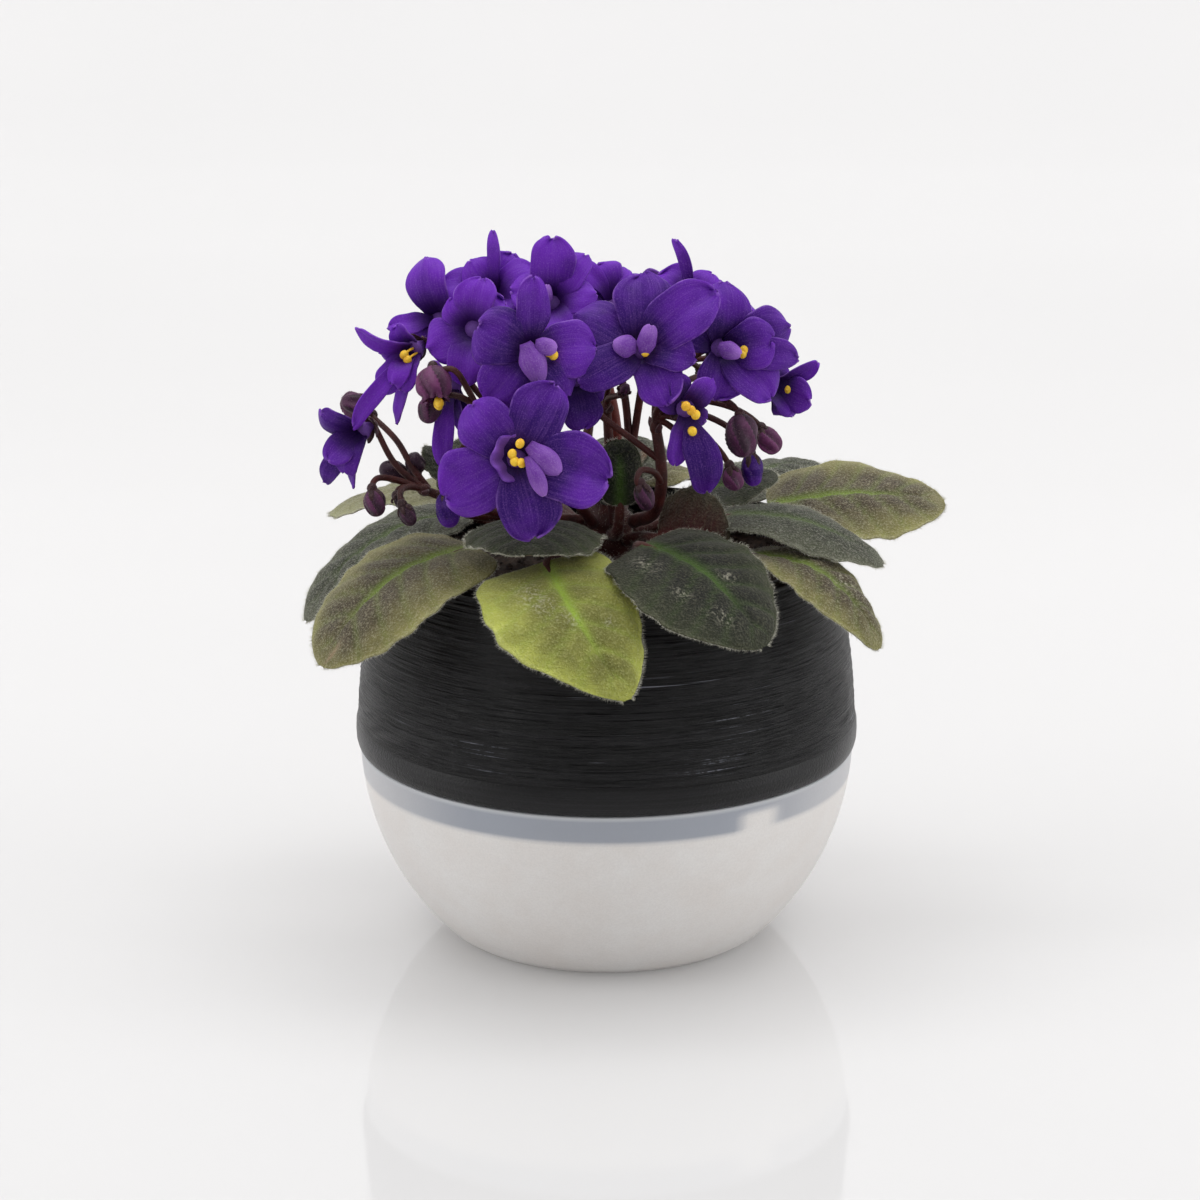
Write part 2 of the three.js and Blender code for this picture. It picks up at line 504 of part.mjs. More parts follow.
// Blooms: centre of the throat, the way that the face looks, and for each lobe the vector from the throat
// to its tip and its half width. Petaloids run from one such vector to another. Anthers are given by how
// far they stand right of the throat and above it. A stem, where there is one, is the way that the bloom's
// own stalk takes, from where it leaves the spray.
const BLOOMS = [
  { name: 'front', centre: [-22, -57, 141], facing: [0, -0.95, 0.3], fine: true, anthers: [0, -0.4],
    lobes: [[-11.2, 4, 12.6, 6.8], [9.5, 5, 17.2, 6.6], [22.4, -1, -5.2, 8.8], [4.2, -6, -18.4, 7.4],
      [-17.6, -2, -9.4, 8.6]],
    petaloids: [[[3, -3, 4.2], [10.6, -4, -2.6], 2.7]] },
  { name: 'upper_front', centre: [-18.5, -45, 164.8], facing: [0.2, -0.92, 0.3],
    anthers: [4.5, -1.8],
    lobes: [[-12.6, -1, 6.8, 8.2], [0.6, 5, 17.6, 4], [13.8, 1, 0.6, 7.2], [9, -4, -9.8, 5.6],
      [-10.4, -5, -11, 6.8]],
    petaloids: [[[-1.2, -4, 3.2], [2.6, -5, -6.6], 3]] },
  { name: 'upper_centre', centre: [8.4, -40, 164.5], facing: [0.1, -0.85, 0.5],
    anthers: [1.4, -2.8],
    lobes: [[0.4, 8, 17, 7.4], [-15.8, 2, 8.4, 6.4], [18.4, 3, 13.6, 6.6], [13, -4, -1, 4.6],
      [-13.6, -8, -6, 5], [5.4, -5, -9, 5.4]],
    petaloids: [[[-1, -4, 1.4], [-6.8, -3, 2], 2.6]] },
  { name: 'left_high', centre: [-42.8, -12, 165.8], facing: [-0.45, -0.8, 0.35],
    lobes: [[-3.1, 2, 14.6, 5.9], [-12.1, -1, -2.2, 2.8], [5, 2, 6, 4.4], [4, -2, -9, 5],
      [-7, 2, -4.6, 3.4]] },
  { name: 'left_side', centre: [-48.4, -27, 160.5], facing: [-0.55, -0.8, -0.25], anthers: [0, 0],
    stem: [[-20, -26, 142], [-26, -28, 145.4], [-31.7, -28, 150], [-35.9, -25.6, 155], [-41.1, -23, 159.4]],
    lobes: [[-13.5, -2, 5.8, 2.5], [-7.8, -2, -9.6, 3.8], [-14.9, -5, -17.6, 2], [-4.8, 2, -19, 1.9],
      [-4, 3, 6, 3]] },
  { name: 'left_middle', centre: [-33.4, -30, 167.3], facing: [-0.3, -0.9, 0.3],
    lobes: [[2.3, 1, 12.2, 5.6], [-10.9, 1, -5.5, 6.2], [-4.8, 3, 7, 5.2], [-1.3, -3.2, -13.1, 4.7],
      [9, 2, -5, 6]] },
  { name: 'crest_left', centre: [-28.6, -10, 171.2], facing: [0, -0.75, 0.6],
    lobes: [[0, 2, 16, 1.5], [-5.6, 1, 8.6, 5], [4.8, 4, 10, 5.2], [10.6, 0, 6, 6], [-7.6, -3, -2, 5.4],
      [2, -9, -4, 7]] },
  { name: 'crest_middle', centre: [-13.8, -18, 171.4], facing: [0, -0.85, 0.45],
    lobes: [[0.2, 4, 15.4, 5.4], [8.4, 3, 11.4, 3.8], [11, 0, 2, 4.6], [-10, 0, 3, 5], [4, -6, -6, 5.6]] },
  { name: 'crest_back', centre: [1.5, -4, 168.5], facing: [0, -0.5, 0.85],
    lobes: [[-3.4, 5, 9.8, 6.2], [4.4, 5, 8.8, 5.4], [11, 2, 3.6, 5.4], [-10, 0, 2, 5.4], [0, -9, -6, 7]] },
  { name: 'crest_right', centre: [21, -12, 170], facing: [0.1, -0.7, 0.7],
    lobes: [[-3.6, 2, 15.4, 1.5], [-8.4, 2, 6, 6.4], [5.4, 2, 6.8, 4], [9, -2, 0, 6], [-5, -8, -6, 7]] },
  { name: 'right_front', centre: [28.5, -31, 162.4], facing: [0.35, -0.9, 0.2],
    anthers: [4, -1.8],
    lobes: [[17.2, 5, 4.2, 6.6], [1, 5, 15.6, 5.4], [12.6, -3, -11.6, 6], [-1.6, -4, -12, 6], [-8, 4, 5, 6]],
    petaloids: [[[-1.2, -3, 1.4], [4.4, -5, -0.4], 2]] },
  { name: 'right_side', centre: [42.5, -12, 148.2], facing: [0.55, -0.8, -0.15], anthers: [1.4, -0.6],
    lobes: [[10.6, -2, 6.4, 1.9], [8.6, -4, -3, 4.4], [4.6, -3, -6.6, 3.6], [3, 4, 4, 4]] },
  { name: 'right_wilted', centre: [19.6, -45, 150.2], facing: [0.2, -0.95, 0], anthers: [0, 0.4],
    lobes: [[-3.2, 1, 6.6, 2.4], [6, 1, 5.8, 3], [-2.8, -2, -13.4, 3], [5.4, -1, -21, 4],
      [-7, 1, 2, 2.2]] },
  { name: 'left_small', centre: [-62, -26, 139.7], facing: [-0.6, -0.8, -0.15], anthers: [-1.4, -1.2],
    stem: [[-46, -21, 123.5], [-53, -22, 130.2]],
    lobes: [[-9.4, -2, 4.4, 4], [-7.6, -4, -6, 4], [-9.2, 1, -13.2, 2.4], [-1.6, 0, -14.2, 1.7]] },
  { name: 'left_drooping', centre: [-38.8, -31, 152.4], facing: [-0.3, -0.8, -0.4],
    lobes: [[-2.1, -3, -19.3, 2.2], [3.2, 0, -11.9, 1.9], [-5.2, 2, 5.6, 4]] },
  { name: 'middle_dark', centre: [-7.6, -36, 155.5], facing: [0.2, -0.95, 0],
    stem: [[13.3, -24, 132], [6.4, -24, 137.4], [-1.7, -24, 143.7], [-6.4, -26, 149.6]],
    lobes: [[6.4, 1, -5, 4.4], [1.8, -2, -11.8, 4.8], [-9, 0, -3, 6], [5, 3, 8, 5.5], [-5, 3, 8, 5.5]] },
  { name: 'back_left', centre: [-28, 26, 160], facing: [-0.45, 0.7, 0.5], anthers: [0, 0],
    lobes: [[5, 10, -2, 6], [9, 3, 11, 6], [-2, -6, 12, 6], [-14, -4, 1, 7], [-7, 8, -10, 7]] },
  { name: 'back', centre: [8, 38, 156], facing: [0.1, 0.85, 0.45], anthers: [0, 0],
    lobes: [[9, -5, 11, 6], [-8, -5, 11, 6], [-15, 2, -3, 7], [-2, 8, -13, 7], [14, 3, -4, 7]] },
  { name: 'back_right', centre: [35, 18, 155], facing: [0.65, 0.55, 0.5],
    lobes: [[4, -7, 11, 6], [-9, 4, 11, 6], [-8, 13, -3, 6], [6, 5, -13, 7], [10, -10, -4, 6]] },
];

// The frame of a bloom: out of its face, its own right and its own up.
function bloomFrame(bloom) {
  const out = vector(bloom.facing).normalize();
  const up = UP.clone().addScaledVector(out, -UP.dot(out)).normalize();
  const right = new THREE.Vector3().crossVectors(up, out);
  return { centre: vector(bloom.centre), out, up, right };
}

// The lobes in the face's own frame, in order round it: how far round, how long and how wide they are, how
// far their tips rise, and how far each may spread before it meets its neighbours.
function lobesOf(bloom) {
  const { out, up, right } = bloomFrame(bloom);
  const lobes = bloom.lobes.map(([x, y, z, half]) => {
    const tip = new THREE.Vector3(x, y, z);
    const azimuth = Math.atan2(tip.dot(up), tip.dot(right));
    const length = Math.max(Math.hypot(tip.dot(up), tip.dot(right)), SHORTEST_LOBE);
    const rise = THREE.MathUtils.clamp(tip.dot(out), -LOBE_SLOPE * length, LOBE_SLOPE * length);
    return { azimuth, length, rise, spread: Math.atan2(half, LOBE_WIDEST_SHARE * length) };
  });
  lobes.sort((a, b) => a.azimuth - b.azimuth);
  const gapAfter = (k) => {
    const step = lobes[(k + 1) % lobes.length].azimuth - lobes[k].azimuth;
    return step > 0 ? step : step + 2 * Math.PI;
  };
  return lobes.map((lobe, k) => {
    const before = Math.min(lobe.spread, gapAfter((k + lobes.length - 1) % lobes.length) / 2);
    const after = Math.min(lobe.spread, gapAfter(k) / 2);
    const apart = gapAfter(k) - lobe.spread - lobes[(k + 1) % lobes.length].spread;
    return { ...lobe, before, after, apart };
  });
}

// Columns round a corolla: each with its direction, its length and the slope of its lobe. A wide gap between
// two lobes gets short columns of its own, so that the funnel's edge stays round there.
function lobeColumns(bloom) {
  const steps = bloom.fine ? LOBE_STEPS + 1 : LOBE_STEPS;
  const columns = [];
  for (const lobe of lobesOf(bloom)) {
    const last = lobe.apart > LOBE_GAP_ANGLE ? steps : steps - 1;
    for (let m = 0; m <= last; m += 1) {
      const u = (2 * m) / steps - 1;
      const rounded = Math.sqrt(1 - Math.abs(u) ** LOBE_BLUNTNESS);
      const notch = Math.max(lobe.length * NOTCH_SHARE, LEAST_NOTCH);
      const angle = lobe.azimuth + u * (u < 0 ? lobe.before : lobe.after);
      const length = notch + (lobe.length - notch) * rounded;
      columns.push({ angle, length, slope: lobe.rise / lobe.length });
    }
    const fillers = Math.floor(lobe.apart / WIDE_GAP_ANGLE);
    for (let m = 1; m <= fillers; m += 1) {
      const angle = lobe.azimuth + lobe.after + (m * lobe.apart) / (fillers + 1);
      columns.push({ angle, length: GAP_REACH, slope: 0 });
    }
  }
  return columns;
}

// A corolla: rounded lobes round a funnel, as one thin sheet over rings and columns.
const RING_SHARES = [0.32, 0.72, 1];

function corollaSolid(bloom) {
  const { centre, out, up, right } = bloomFrame(bloom);
  const columns = lobeColumns(bloom);
  const place = (angle, reach, height) =>
    centre.clone()
      .addScaledVector(right, reach * Math.cos(angle))
      .addScaledVector(up, reach * Math.sin(angle))
      .addScaledVector(out, height);
  const points = [];
  const half = PETAL_THICKNESS / 2;
  for (const sign of [1, -1]) {
    points.push(place(0, 0, -THROAT_DEPTH + sign * half));
    RING_SHARES.forEach((share, ring) => {
      for (const { angle, length, slope } of columns) {
        const reach = ring === 0 ? THROAT_RADIUS : THROAT_RADIUS + (length - THROAT_RADIUS) * share;
        const bow = LOBE_BOW * Math.sin((Math.PI * reach) / length);
        const rise = ring === 0 ? THROAT_RING_HEIGHT : slope * (reach - THROAT_RADIUS) + bow;
        points.push(place(angle, reach, rise + sign * half));
      }
    });
  }
  const count = columns.length;
  const sideSize = 1 + RING_SHARES.length * count;
  const at = (side, ring, j) => side * sideSize + 1 + ring * count + (j % count);
  const faces = [];
  for (let j = 0; j < count; j += 1) {
    faces.push(0, at(0, 0, j), at(0, 0, j + 1), sideSize, at(1, 0, j + 1), at(1, 0, j));
    for (let ring = 0; ring + 1 < RING_SHARES.length; ring += 1) {
      const [a, b, c, d] = [[ring, j], [ring + 1, j], [ring + 1, j + 1], [ring, j + 1]];
      faces.push(at(0, ...a), at(0, ...b), at(0, ...c), at(0, ...a), at(0, ...c), at(0, ...d));
      faces.push(at(1, ...a), at(1, ...c), at(1, ...b), at(1, ...a), at(1, ...d), at(1, ...c));
    }
    const last = RING_SHARES.length - 1;
    faces.push(at(0, last, j), at(1, last, j), at(1, last, j + 1));
    faces.push(at(0, last, j), at(1, last, j + 1), at(0, last, j + 1));
  }
  return fromLists(points, faces);
}

// A small inner petal that stands out of the throat and lies over the face, with its sides curled back.
function petaloidSolid(bloom, [from, to, width]) {
  const { centre, out } = bloomFrame(bloom);
  const outward = vector(from).addScaledVector(out, -out.dot(vector(from))).normalize();
  const foot = centre.clone()
    .addScaledVector(outward, PETALOID_FOOT_RADIUS)
    .addScaledVector(out, -THROAT_DEPTH);
  const start = centre.clone().add(vector(from));
  const end = centre.clone().add(vector(to));
  const along = end.clone().sub(start).normalize();
  const over = out.clone().addScaledVector(along, -out.dot(along)).normalize();
  const across = new THREE.Vector3().crossVectors(over, along);
  const pointAt = (s, t) => {
    const rise = Math.min(s * 3, 1);
    const share = Math.max((s * 3 - 1) / 2, 0);
    const half = width * (s < 1 ? 0.5 + 0.5 * rise : 0.6);
    return foot.clone()
      .lerp(start, rise)
      .addScaledVector(end.clone().sub(start), share)
      .addScaledVector(across, t * half)
      .addScaledVector(over, -PETALOID_CURL * half * t * t);
  };
  return sheetSolid(pointAt, 3, 2, over.clone().sub(along).normalize(), PETAL_THICKNESS);
}

function bloomSolid(bloom) {
  const petaloids = (bloom.petaloids ?? []).map((values) => petaloidSolid(bloom, values));
  return joined([corollaSolid(bloom), ...petaloids]);
}

// Two anther lobes on a short filament, standing in the throat.
function antherSolid(bloom) {
  const { centre, out, up, right } = bloomFrame(bloom);
  const foot = centre.clone().addScaledVector(out, FILAMENT_FOOT - THROAT_DEPTH);
  const [beside, above] = bloom.anthers;
  const head = centre.clone()
    .addScaledVector(out, ANTHER_HEIGHT)
    .addScaledVector(right, beside)
    .addScaledVector(up, above);
  const filament = tubeSolid(new THREE.LineCurve3(foot, head), 1, ...FILAMENT_RADII, 4);
  const lobes = [-1, 1].map((sign) => {
    const place = head.clone().addScaledVector(right, sign * ANTHER_SPREAD);
    return eggSolid(place, out.clone().addScaledVector(up, 0.3), ANTHER_LENGTH, ANTHER_RADIUS, 4, 2);
  });
  return joined([filament, ...lobes]);
}

// Flower sprays: the stalk's points from the crown up, then what each one carries. A stalk that leaves the
// crown level starts closer to it, by a root gap of its own. A bud is given by its
// middle, length, radius and the way that its tip points, and by a stem where its stalk is bent.
const SPRAYS = [
  {
    name: 'left',
    root: 212,
    rootGap: 0.75,
    stalk: [[-20, -12, 114], [-34, -17, 118], [-46, -21, 123.5]],
    blooms: ['left_small'],
    buds: [
      { middle: [-63.1, -12, 143], length: 9, radius: 3.5, aim: [-0.8, -0.2, 0.5],
        stem: [[-45, -19.6, 123.5], [-48.6, -19, 128.2], [-52.7, -17, 134.9]] },
      { middle: [-57.8, -34, 123.6], length: 7, radius: 2.9, aim: [0.2, -0.2, -1] },
      { middle: [-49.6, -35, 120.6], length: 5.6, radius: 2.4, aim: [0.5, -0.2, -1] },
      { middle: [-54, -16, 127], length: 7, radius: 3, aim: [-0.7, -0.3, 0.3] },
    ],
  },
  {
    name: 'front',
    root: 248,
    stalk: [[-12, -20, 127], [-20, -26, 143]],
    blooms: ['front', 'upper_front', 'left_middle', 'left_high', 'left_drooping', 'left_side'],
    buds: [
      { middle: [-42.4, -41, 155.4], length: 9, radius: 4.2, aim: [-0.1, -0.5, -1],
        stem: [[-20, -26, 142], [-31.5, -37, 148.2], [-34, -39.5, 153.5], [-38, -41, 159.5]] },
      { middle: [-43.8, -36, 148], length: 6.2, radius: 2.6, aim: [-0.3, -0.4, -0.9],
        stem: [[-32.6, -38.2, 150], [-37.6, -39, 152.4], [-41.6, -37.6, 151.6]] },
      { middle: [-39.5, -34, 122], length: 8.6, radius: 3.2, aim: [0.1, -0.3, -1] },
    ],
  },
  {
    name: 'middle',
    root: 284,
    stalk: [[1, -9, 126], [0, -10, 142]],
    blooms: ['crest_left', 'crest_middle', 'crest_back', 'upper_centre'],
    buds: [{ middle: [4.6, -20, 149.4], length: 3.6, radius: 1.3, aim: [0.3, -0.6, 0.6] }],
  },
  {
    name: 'right',
    root: 322,
    stalk: [[12.4, -19, 118], [13.8, -23.4, 127.4], [13.3, -24, 134], [12.3, -24, 140.3]],
    blooms: ['right_wilted', 'right_front', 'right_side', 'crest_right', 'middle_dark'],
    buds: [
      { middle: [9.4, -36, 125.6], length: 7, radius: 2.6, aim: [0.3, -0.3, -1] },
      { middle: [31.5, -32, 129.4], length: 6.4, radius: 2.6, aim: [0.3, -0.3, -1] },
      { middle: [33.4, -36, 141.4], length: 12, radius: 4, aim: [0.1, -0.3, -1] },
      { middle: [40.6, -26, 137.6], length: 7.4, radius: 3, aim: [0.5, -0.3, -0.8] },
      { middle: [36.4, -28, 130.6], length: 8.4, radius: 2.9, aim: [0.1, -0.2, -1] },
    ],
  },
  {
    name: 'back',
    root: 108,
    stalk: [[-5, 16, 127], [-2, 20, 142]],
    blooms: ['back_left', 'back', 'back_right'],
    buds: [
      { middle: [-12, 36, 140], length: 7, radius: 2.4, aim: [-0.2, 0.6, -0.6] },
      { middle: [26, 34, 140], length: 6, radius: 2.2, aim: [0.4, 0.5, -0.6] },
    ],
  },
];

// A calyx: five pointed sepals round a small cup, behind a bloom's tube.
function calyxSolid(seat, out) {
  const across = new THREE.Vector3(1, 0.3, 0.2).cross(out).normalize();
  const over = new THREE.Vector3().crossVectors(out, across);
  const corners = [];
  for (let k = 0; k < 10; k += 1) {
    const reach = k % 2 ? SEPAL_NOTCH : SEPAL_LENGTH;
    const angle = (Math.PI * k) / 5;
    corners.push(
      seat.clone()
        .addScaledVector(across, reach * Math.cos(angle))
        .addScaledVector(over, reach * Math.sin(angle))
        .addScaledVector(out, k % 2 ? -2 * SEPAL_BACK : -SEPAL_BACK),
    );
  }
  const front = seat.clone();
  const back = seat.clone().addScaledVector(out, -CALYX_CUP_DEPTH);
  const faces = [];
  for (let k = 0; k < 10; k += 1) {
    faces.push(10, k, (k + 1) % 10, 11, (k + 1) % 10, k);
  }
  return fromLists([...corners, front, back], faces);
}

function spraySolid(spray) {
  const root = new THREE.Vector3(CROWN_RADIUS + (spray.rootGap ?? STALK_ROOT_GAP), 0, STALK_ROOT_Z);
  root.applyAxisAngle(UP, radians(spray.root));
  const points = [root, ...spray.stalk.map(vector)];
  const top = points[points.length - 1];
  const fork = top.clone().sub(points[points.length - 2]).normalize();
  const parts = [
    tubeSolid(new THREE.CatmullRomCurve3(points), 4, PEDUNCLE_RADIUS, PEDUNCLE_RADIUS * 0.75, 6),
    eggSolid(top, fork, FORK_LENGTH, FORK_RADIUS, 6, 4),
  ];
  const branch = (end, arrival, stem) => {
    const pull = top.distanceTo(end) * BRANCH_PULL;
    const bent = new THREE.CubicBezierCurve3(
      top,
      top.clone().addScaledVector(fork, pull),
      end.clone().addScaledVector(arrival, -pull),
      end,
    );
    const curve = stem ? new THREE.CatmullRomCurve3([...stem.map(vector), end]) : bent;
    const steps = stem ? BRANCH_STEPS + 1 : BRANCH_STEPS;
    parts.push(tubeSolid(curve, steps, PEDICEL_RADIUS * 1.2, PEDICEL_RADIUS, PEDICEL_SIDES));
  };
  for (const name of spray.blooms) {
    const bloom = BLOOMS.find((flower) => flower.name === name);
    const { centre, out } = bloomFrame(bloom);
    const seat = centre.clone().addScaledVector(out, -CALYX_SETBACK);
    branch(seat.clone().addScaledVector(out, -CALYX_CUP_DEPTH / 2), out, bloom.stem);
    parts.push(calyxSolid(seat, out));
  }
  for (const bud of spray.buds) {
    const aim = vector(bud.aim).normalize();
    const middle = vector(bud.middle);
    branch(middle.clone().addScaledVector(aim, -bud.length * BUD_SEAT_SHARE), aim, bud.stem);
    parts.push(eggSolid(middle, aim, bud.length, bud.radius, 5, 4));
  }
  return joined(parts);
}

piece('reservoir_bowl', reservoirBowl(), bowlMaterial);
piece('planter_shell', planterShell(), shellMaterial);
piece('soil', soil(), soilMaterial);
piece('crown', crown(), crownMaterial);
for (const leaf of LEAVES) {
  piece(`leaf_${leaf.name}`, leafSolid(leaf), leafMaterials[leaf.tint]);
}
for (const spray of SPRAYS) {
  piece(`spray_${spray.name}`, spraySolid(spray), stalkMaterial);
}
for (const bloom of BLOOMS) {
  piece(`bloom_${bloom.name}`, bloomSolid(bloom), bloomMaterial);
}
for (const bloom of BLOOMS.filter((flower) => flower.anthers)) {
  piece(`anthers_${bloom.name}`, antherSolid(bloom), antherMaterial);
}

export default group;
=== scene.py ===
"""African violet in a self-watering pot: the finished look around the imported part.

Shapes are worked out in millimetres as whole numpy arrays and written to Blender in metres. Front is -Y.
"""

import math

import bpy
import numpy as np
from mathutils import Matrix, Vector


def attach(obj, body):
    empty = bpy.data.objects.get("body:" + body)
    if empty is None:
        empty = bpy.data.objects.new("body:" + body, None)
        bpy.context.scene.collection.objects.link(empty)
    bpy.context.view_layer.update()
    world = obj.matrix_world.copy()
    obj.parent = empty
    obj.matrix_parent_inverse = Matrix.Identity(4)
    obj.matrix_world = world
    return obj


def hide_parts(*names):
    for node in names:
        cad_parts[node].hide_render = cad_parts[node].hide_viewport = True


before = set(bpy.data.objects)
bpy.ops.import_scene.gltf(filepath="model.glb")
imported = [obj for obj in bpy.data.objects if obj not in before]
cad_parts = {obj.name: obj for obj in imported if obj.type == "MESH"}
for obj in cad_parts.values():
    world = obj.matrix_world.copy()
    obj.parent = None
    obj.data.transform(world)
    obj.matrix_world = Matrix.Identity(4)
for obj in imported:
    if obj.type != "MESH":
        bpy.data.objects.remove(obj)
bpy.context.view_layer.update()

MM = 0.001
UP = np.array([0.0, 0.0, 1.0])
random = np.random.default_rng(7)

# Pot
BOWL_RADIUS = 64.2
BOWL_CENTRE_Z = 54.0
BOWL_DEPTH = 68.5
FOOT_RADIUS = 37.5
BOWL_WALL = 2.2
BORDER_Z = 51.3
SEAT_GAP = 0.3
BAND_TOP_Z = 58.3
BAND_RADIUS = 65.2
RIM_Z = 104.3
RIM_RADIUS = 57.6
SHELL_WALL = 2.4
SHELL_BULGE = 1.5
SKIRT_RADIUS = 60.2
SKIRT_WALL = 2.0
SKIRT_Z = 43.3
NOTCH_TOP_Z = 48.6
FLOOR_Z = 48.0
FLOOR_THICKNESS = 2.4
NOTCH_AZIMUTH = -53.0
DRAIN_HOLES = 8
DRAIN_RING_RADIUS = 34
DRAIN_RADIUS = 2.5
POT_SEGMENTS = 192
RIDGE_DEPTH = 0.48
# azimuth and height of the middle of each scratched patch, its half width in degrees and half height
WORN_ZONES = [(-58, 74, 12, 9), (-66, 62, 8, 4), (-122, 66, 11, 5), (75, 70, 14, 8)]

# Plant
SOIL_TOP_Z = 97.0
SOIL_RADIUS = 54.6
CRUMB_COUNT = 900
CROWN_RADIUS = 7.0
CROWN_BOTTOM_Z = 84.3
CROWN_TOP_Z = 118.0
YOUNG_LEAF_AZIMUTHS = [15, 150, 235]
LEAF_THICKNESS = 1.1
PETIOLE_RADIUS = 1.7
PETAL_THICKNESS = 0.6
PETALOID_THICKNESS = 0.5
SEPAL_THICKNESS = 0.5
PETAL_FULLNESS = 1.1
THROAT_DEPTH = 3.6
THROAT_RADIUS = 2.8
CALYX_SETBACK = 4.7
PEDUNCLE_RADIUS = 1.5
PEDICEL_RADIUS = 0.75
FILAMENT_RADIUS = 0.33
ANTHER_LENGTH = 2.5
ANTHER_RADIUS = 1.08

# Leaves narrower than this half width have a coarser mesh and shallower veins
SMALL_LEAF = 12.5

# Hairs
LEAF_HAIRS_PER_MM2 = 1.5
RIM_HAIRS_PER_MM = 16
HAIR_LENGTH = 1.15
HAIR_RADIUS = 0.032
FUR_LENGTH = 0.55
FUR_RADIUS = 0.036
CROWN_HAIR_COUNT = 3000
CROWN_HAIR_LENGTH = 1.1
PETIOLE_HAIR_COUNT = 320
PETIOLE_HAIR_LENGTH = 1.1
PETIOLE_HAIR_RADIUS = 0.02
SPRAY_HAIR_COUNT = 3200
SPRAY_HAIR_LENGTH = 0.75
SPRAY_HAIR_RADIUS = 0.016


# shapes as arrays


def unit(v):
    v = np.asarray(v, float)
    return v / np.maximum(np.linalg.norm(v, axis=-1, keepdims=True), 1e-9)


def smooth(x, low, high):
    x = np.clip((x - low) / (high - low), 0, 1)
    return x * x * (3 - 2 * x)


def towards(azimuth):
    """The level direction at an azimuth in degrees."""
    angle = math.radians(azimuth)
    return np.array([math.cos(angle), math.sin(angle), 0])


def turned_about(v, axis, degrees):
    """v turned about a unit axis: v cos + (axis x v) sin + axis (axis . v)(1 - cos)."""
    angle = math.radians(degrees)
    v = np.asarray(v, float)
    across = np.cross(axis, v)
    return v * math.cos(angle) + across * math.sin(angle) + axis * (v @ axis) * (1 - math.cos(angle))


def shape(points, triangles, masks=None, kind=0):
    """Points in mm, triangles, six masks a point for the materials, and each face's material number."""
    points = np.asarray(points, float).reshape(-1, 3)
    full = np.zeros((len(points), 6))
    if masks is not None:
        masks = np.asarray(masks, float).reshape(len(points), -1)
        full[:, : masks.shape[1]] = masks
    return {"points": points, "triangles": triangles, "masks": full, "kind": np.full(len(triangles), kind)}


def joined(shapes):
    starts = np.cumsum([0] + [len(s["points"]) for s in shapes[:-1]])
    return {
        "points": np.concatenate([s["points"] for s in shapes]),
        "triangles": np.concatenate([s["triangles"] + start for s, start in zip(shapes, starts)]),
        "masks": np.concatenate([s["masks"] for s in shapes]),
        "kind": np.concatenate([s["kind"] for s in shapes]),
    }


def grids(along, across):
    """Two coordinates as whole grids: the first runs down the rows, the second across them."""
    return np.asarray(along)[:, None] * np.ones(len(across)), np.ones((len(along), 1)) * across


def round_axis(radius, angle, z):
    """Rings about the Z axis: (radius cos angle, radius sin angle, z)."""
    x = radius * np.cos(angle)
    y = radius * np.sin(angle)
    return np.stack([x, y, np.broadcast_to(z, x.shape)], -1)


def grid_triangles(index):
    a, b, c, d = index[:-1, :-1], index[1:, :-1], index[1:, 1:], index[:-1, 1:]
    first = np.stack([a, b, c], -1).reshape(-1, 3)
    second = np.stack([a, c, d], -1).reshape(-1, 3)
    return np.concatenate([first, second])


def surface_normal(middle):
    return unit(np.cross(np.gradient(middle, axis=0), np.gradient(middle, axis=1)))


def closed_sheet(middle, thickness, masks, kind=0):
    """Both faces of a thin sheet, which meet at its border: middle + and - half its thickness along its
    normal. Mask 2 marks the lower face."""
    rows, columns = middle.shape[:2]
    inner = np.zeros((rows, columns, 1))
    inner[1:-1, 1:-1] = 1
    offset = surface_normal(middle) * thickness / 2 * inner
    top = np.arange(rows * columns).reshape(rows, columns)
    bottom = np.where(inner[..., 0] > 0, top + rows * columns, top)
    triangles = np.concatenate([grid_triangles(top), grid_triangles(bottom)[:, ::-1]])
    points = np.concatenate([(middle + offset).reshape(-1, 3), (middle - offset).reshape(-1, 3)])
    above = masks.reshape(rows * columns, -1)
    below = above.copy()
    below[:, 2] = 1
    return shape(points, triangles, np.concatenate([above, below]), kind)


def closed_rings(rings, masks, kind=0):
    """A closed skin over rings of shape (around, along, 3), with a pole at each end."""
    around, along = rings.shape[:2]
    index = np.arange(around * along).reshape(around, along)
    wrapped = np.vstack([index, index[:1]])
    first, last = around * along, around * along + 1
    start = np.stack([np.full(around, first), wrapped[1:, 0], wrapped[:-1, 0]], -1)
    end = np.stack([np.full(around, last), wrapped[:-1, -1], wrapped[1:, -1]], -1)
    points = np.concatenate([rings.reshape(-1, 3), rings[:, 0].mean(0)[None], rings[:, -1].mean(0)[None]])
    flat = masks.reshape(around * along, -1)
    poles = np.stack([masks[:, 0].mean(0), masks[:, -1].mean(0)])
    triangles = np.concatenate([grid_triangles(wrapped), start, end])
    return shape(points, triangles, np.concatenate([flat, poles]), kind)


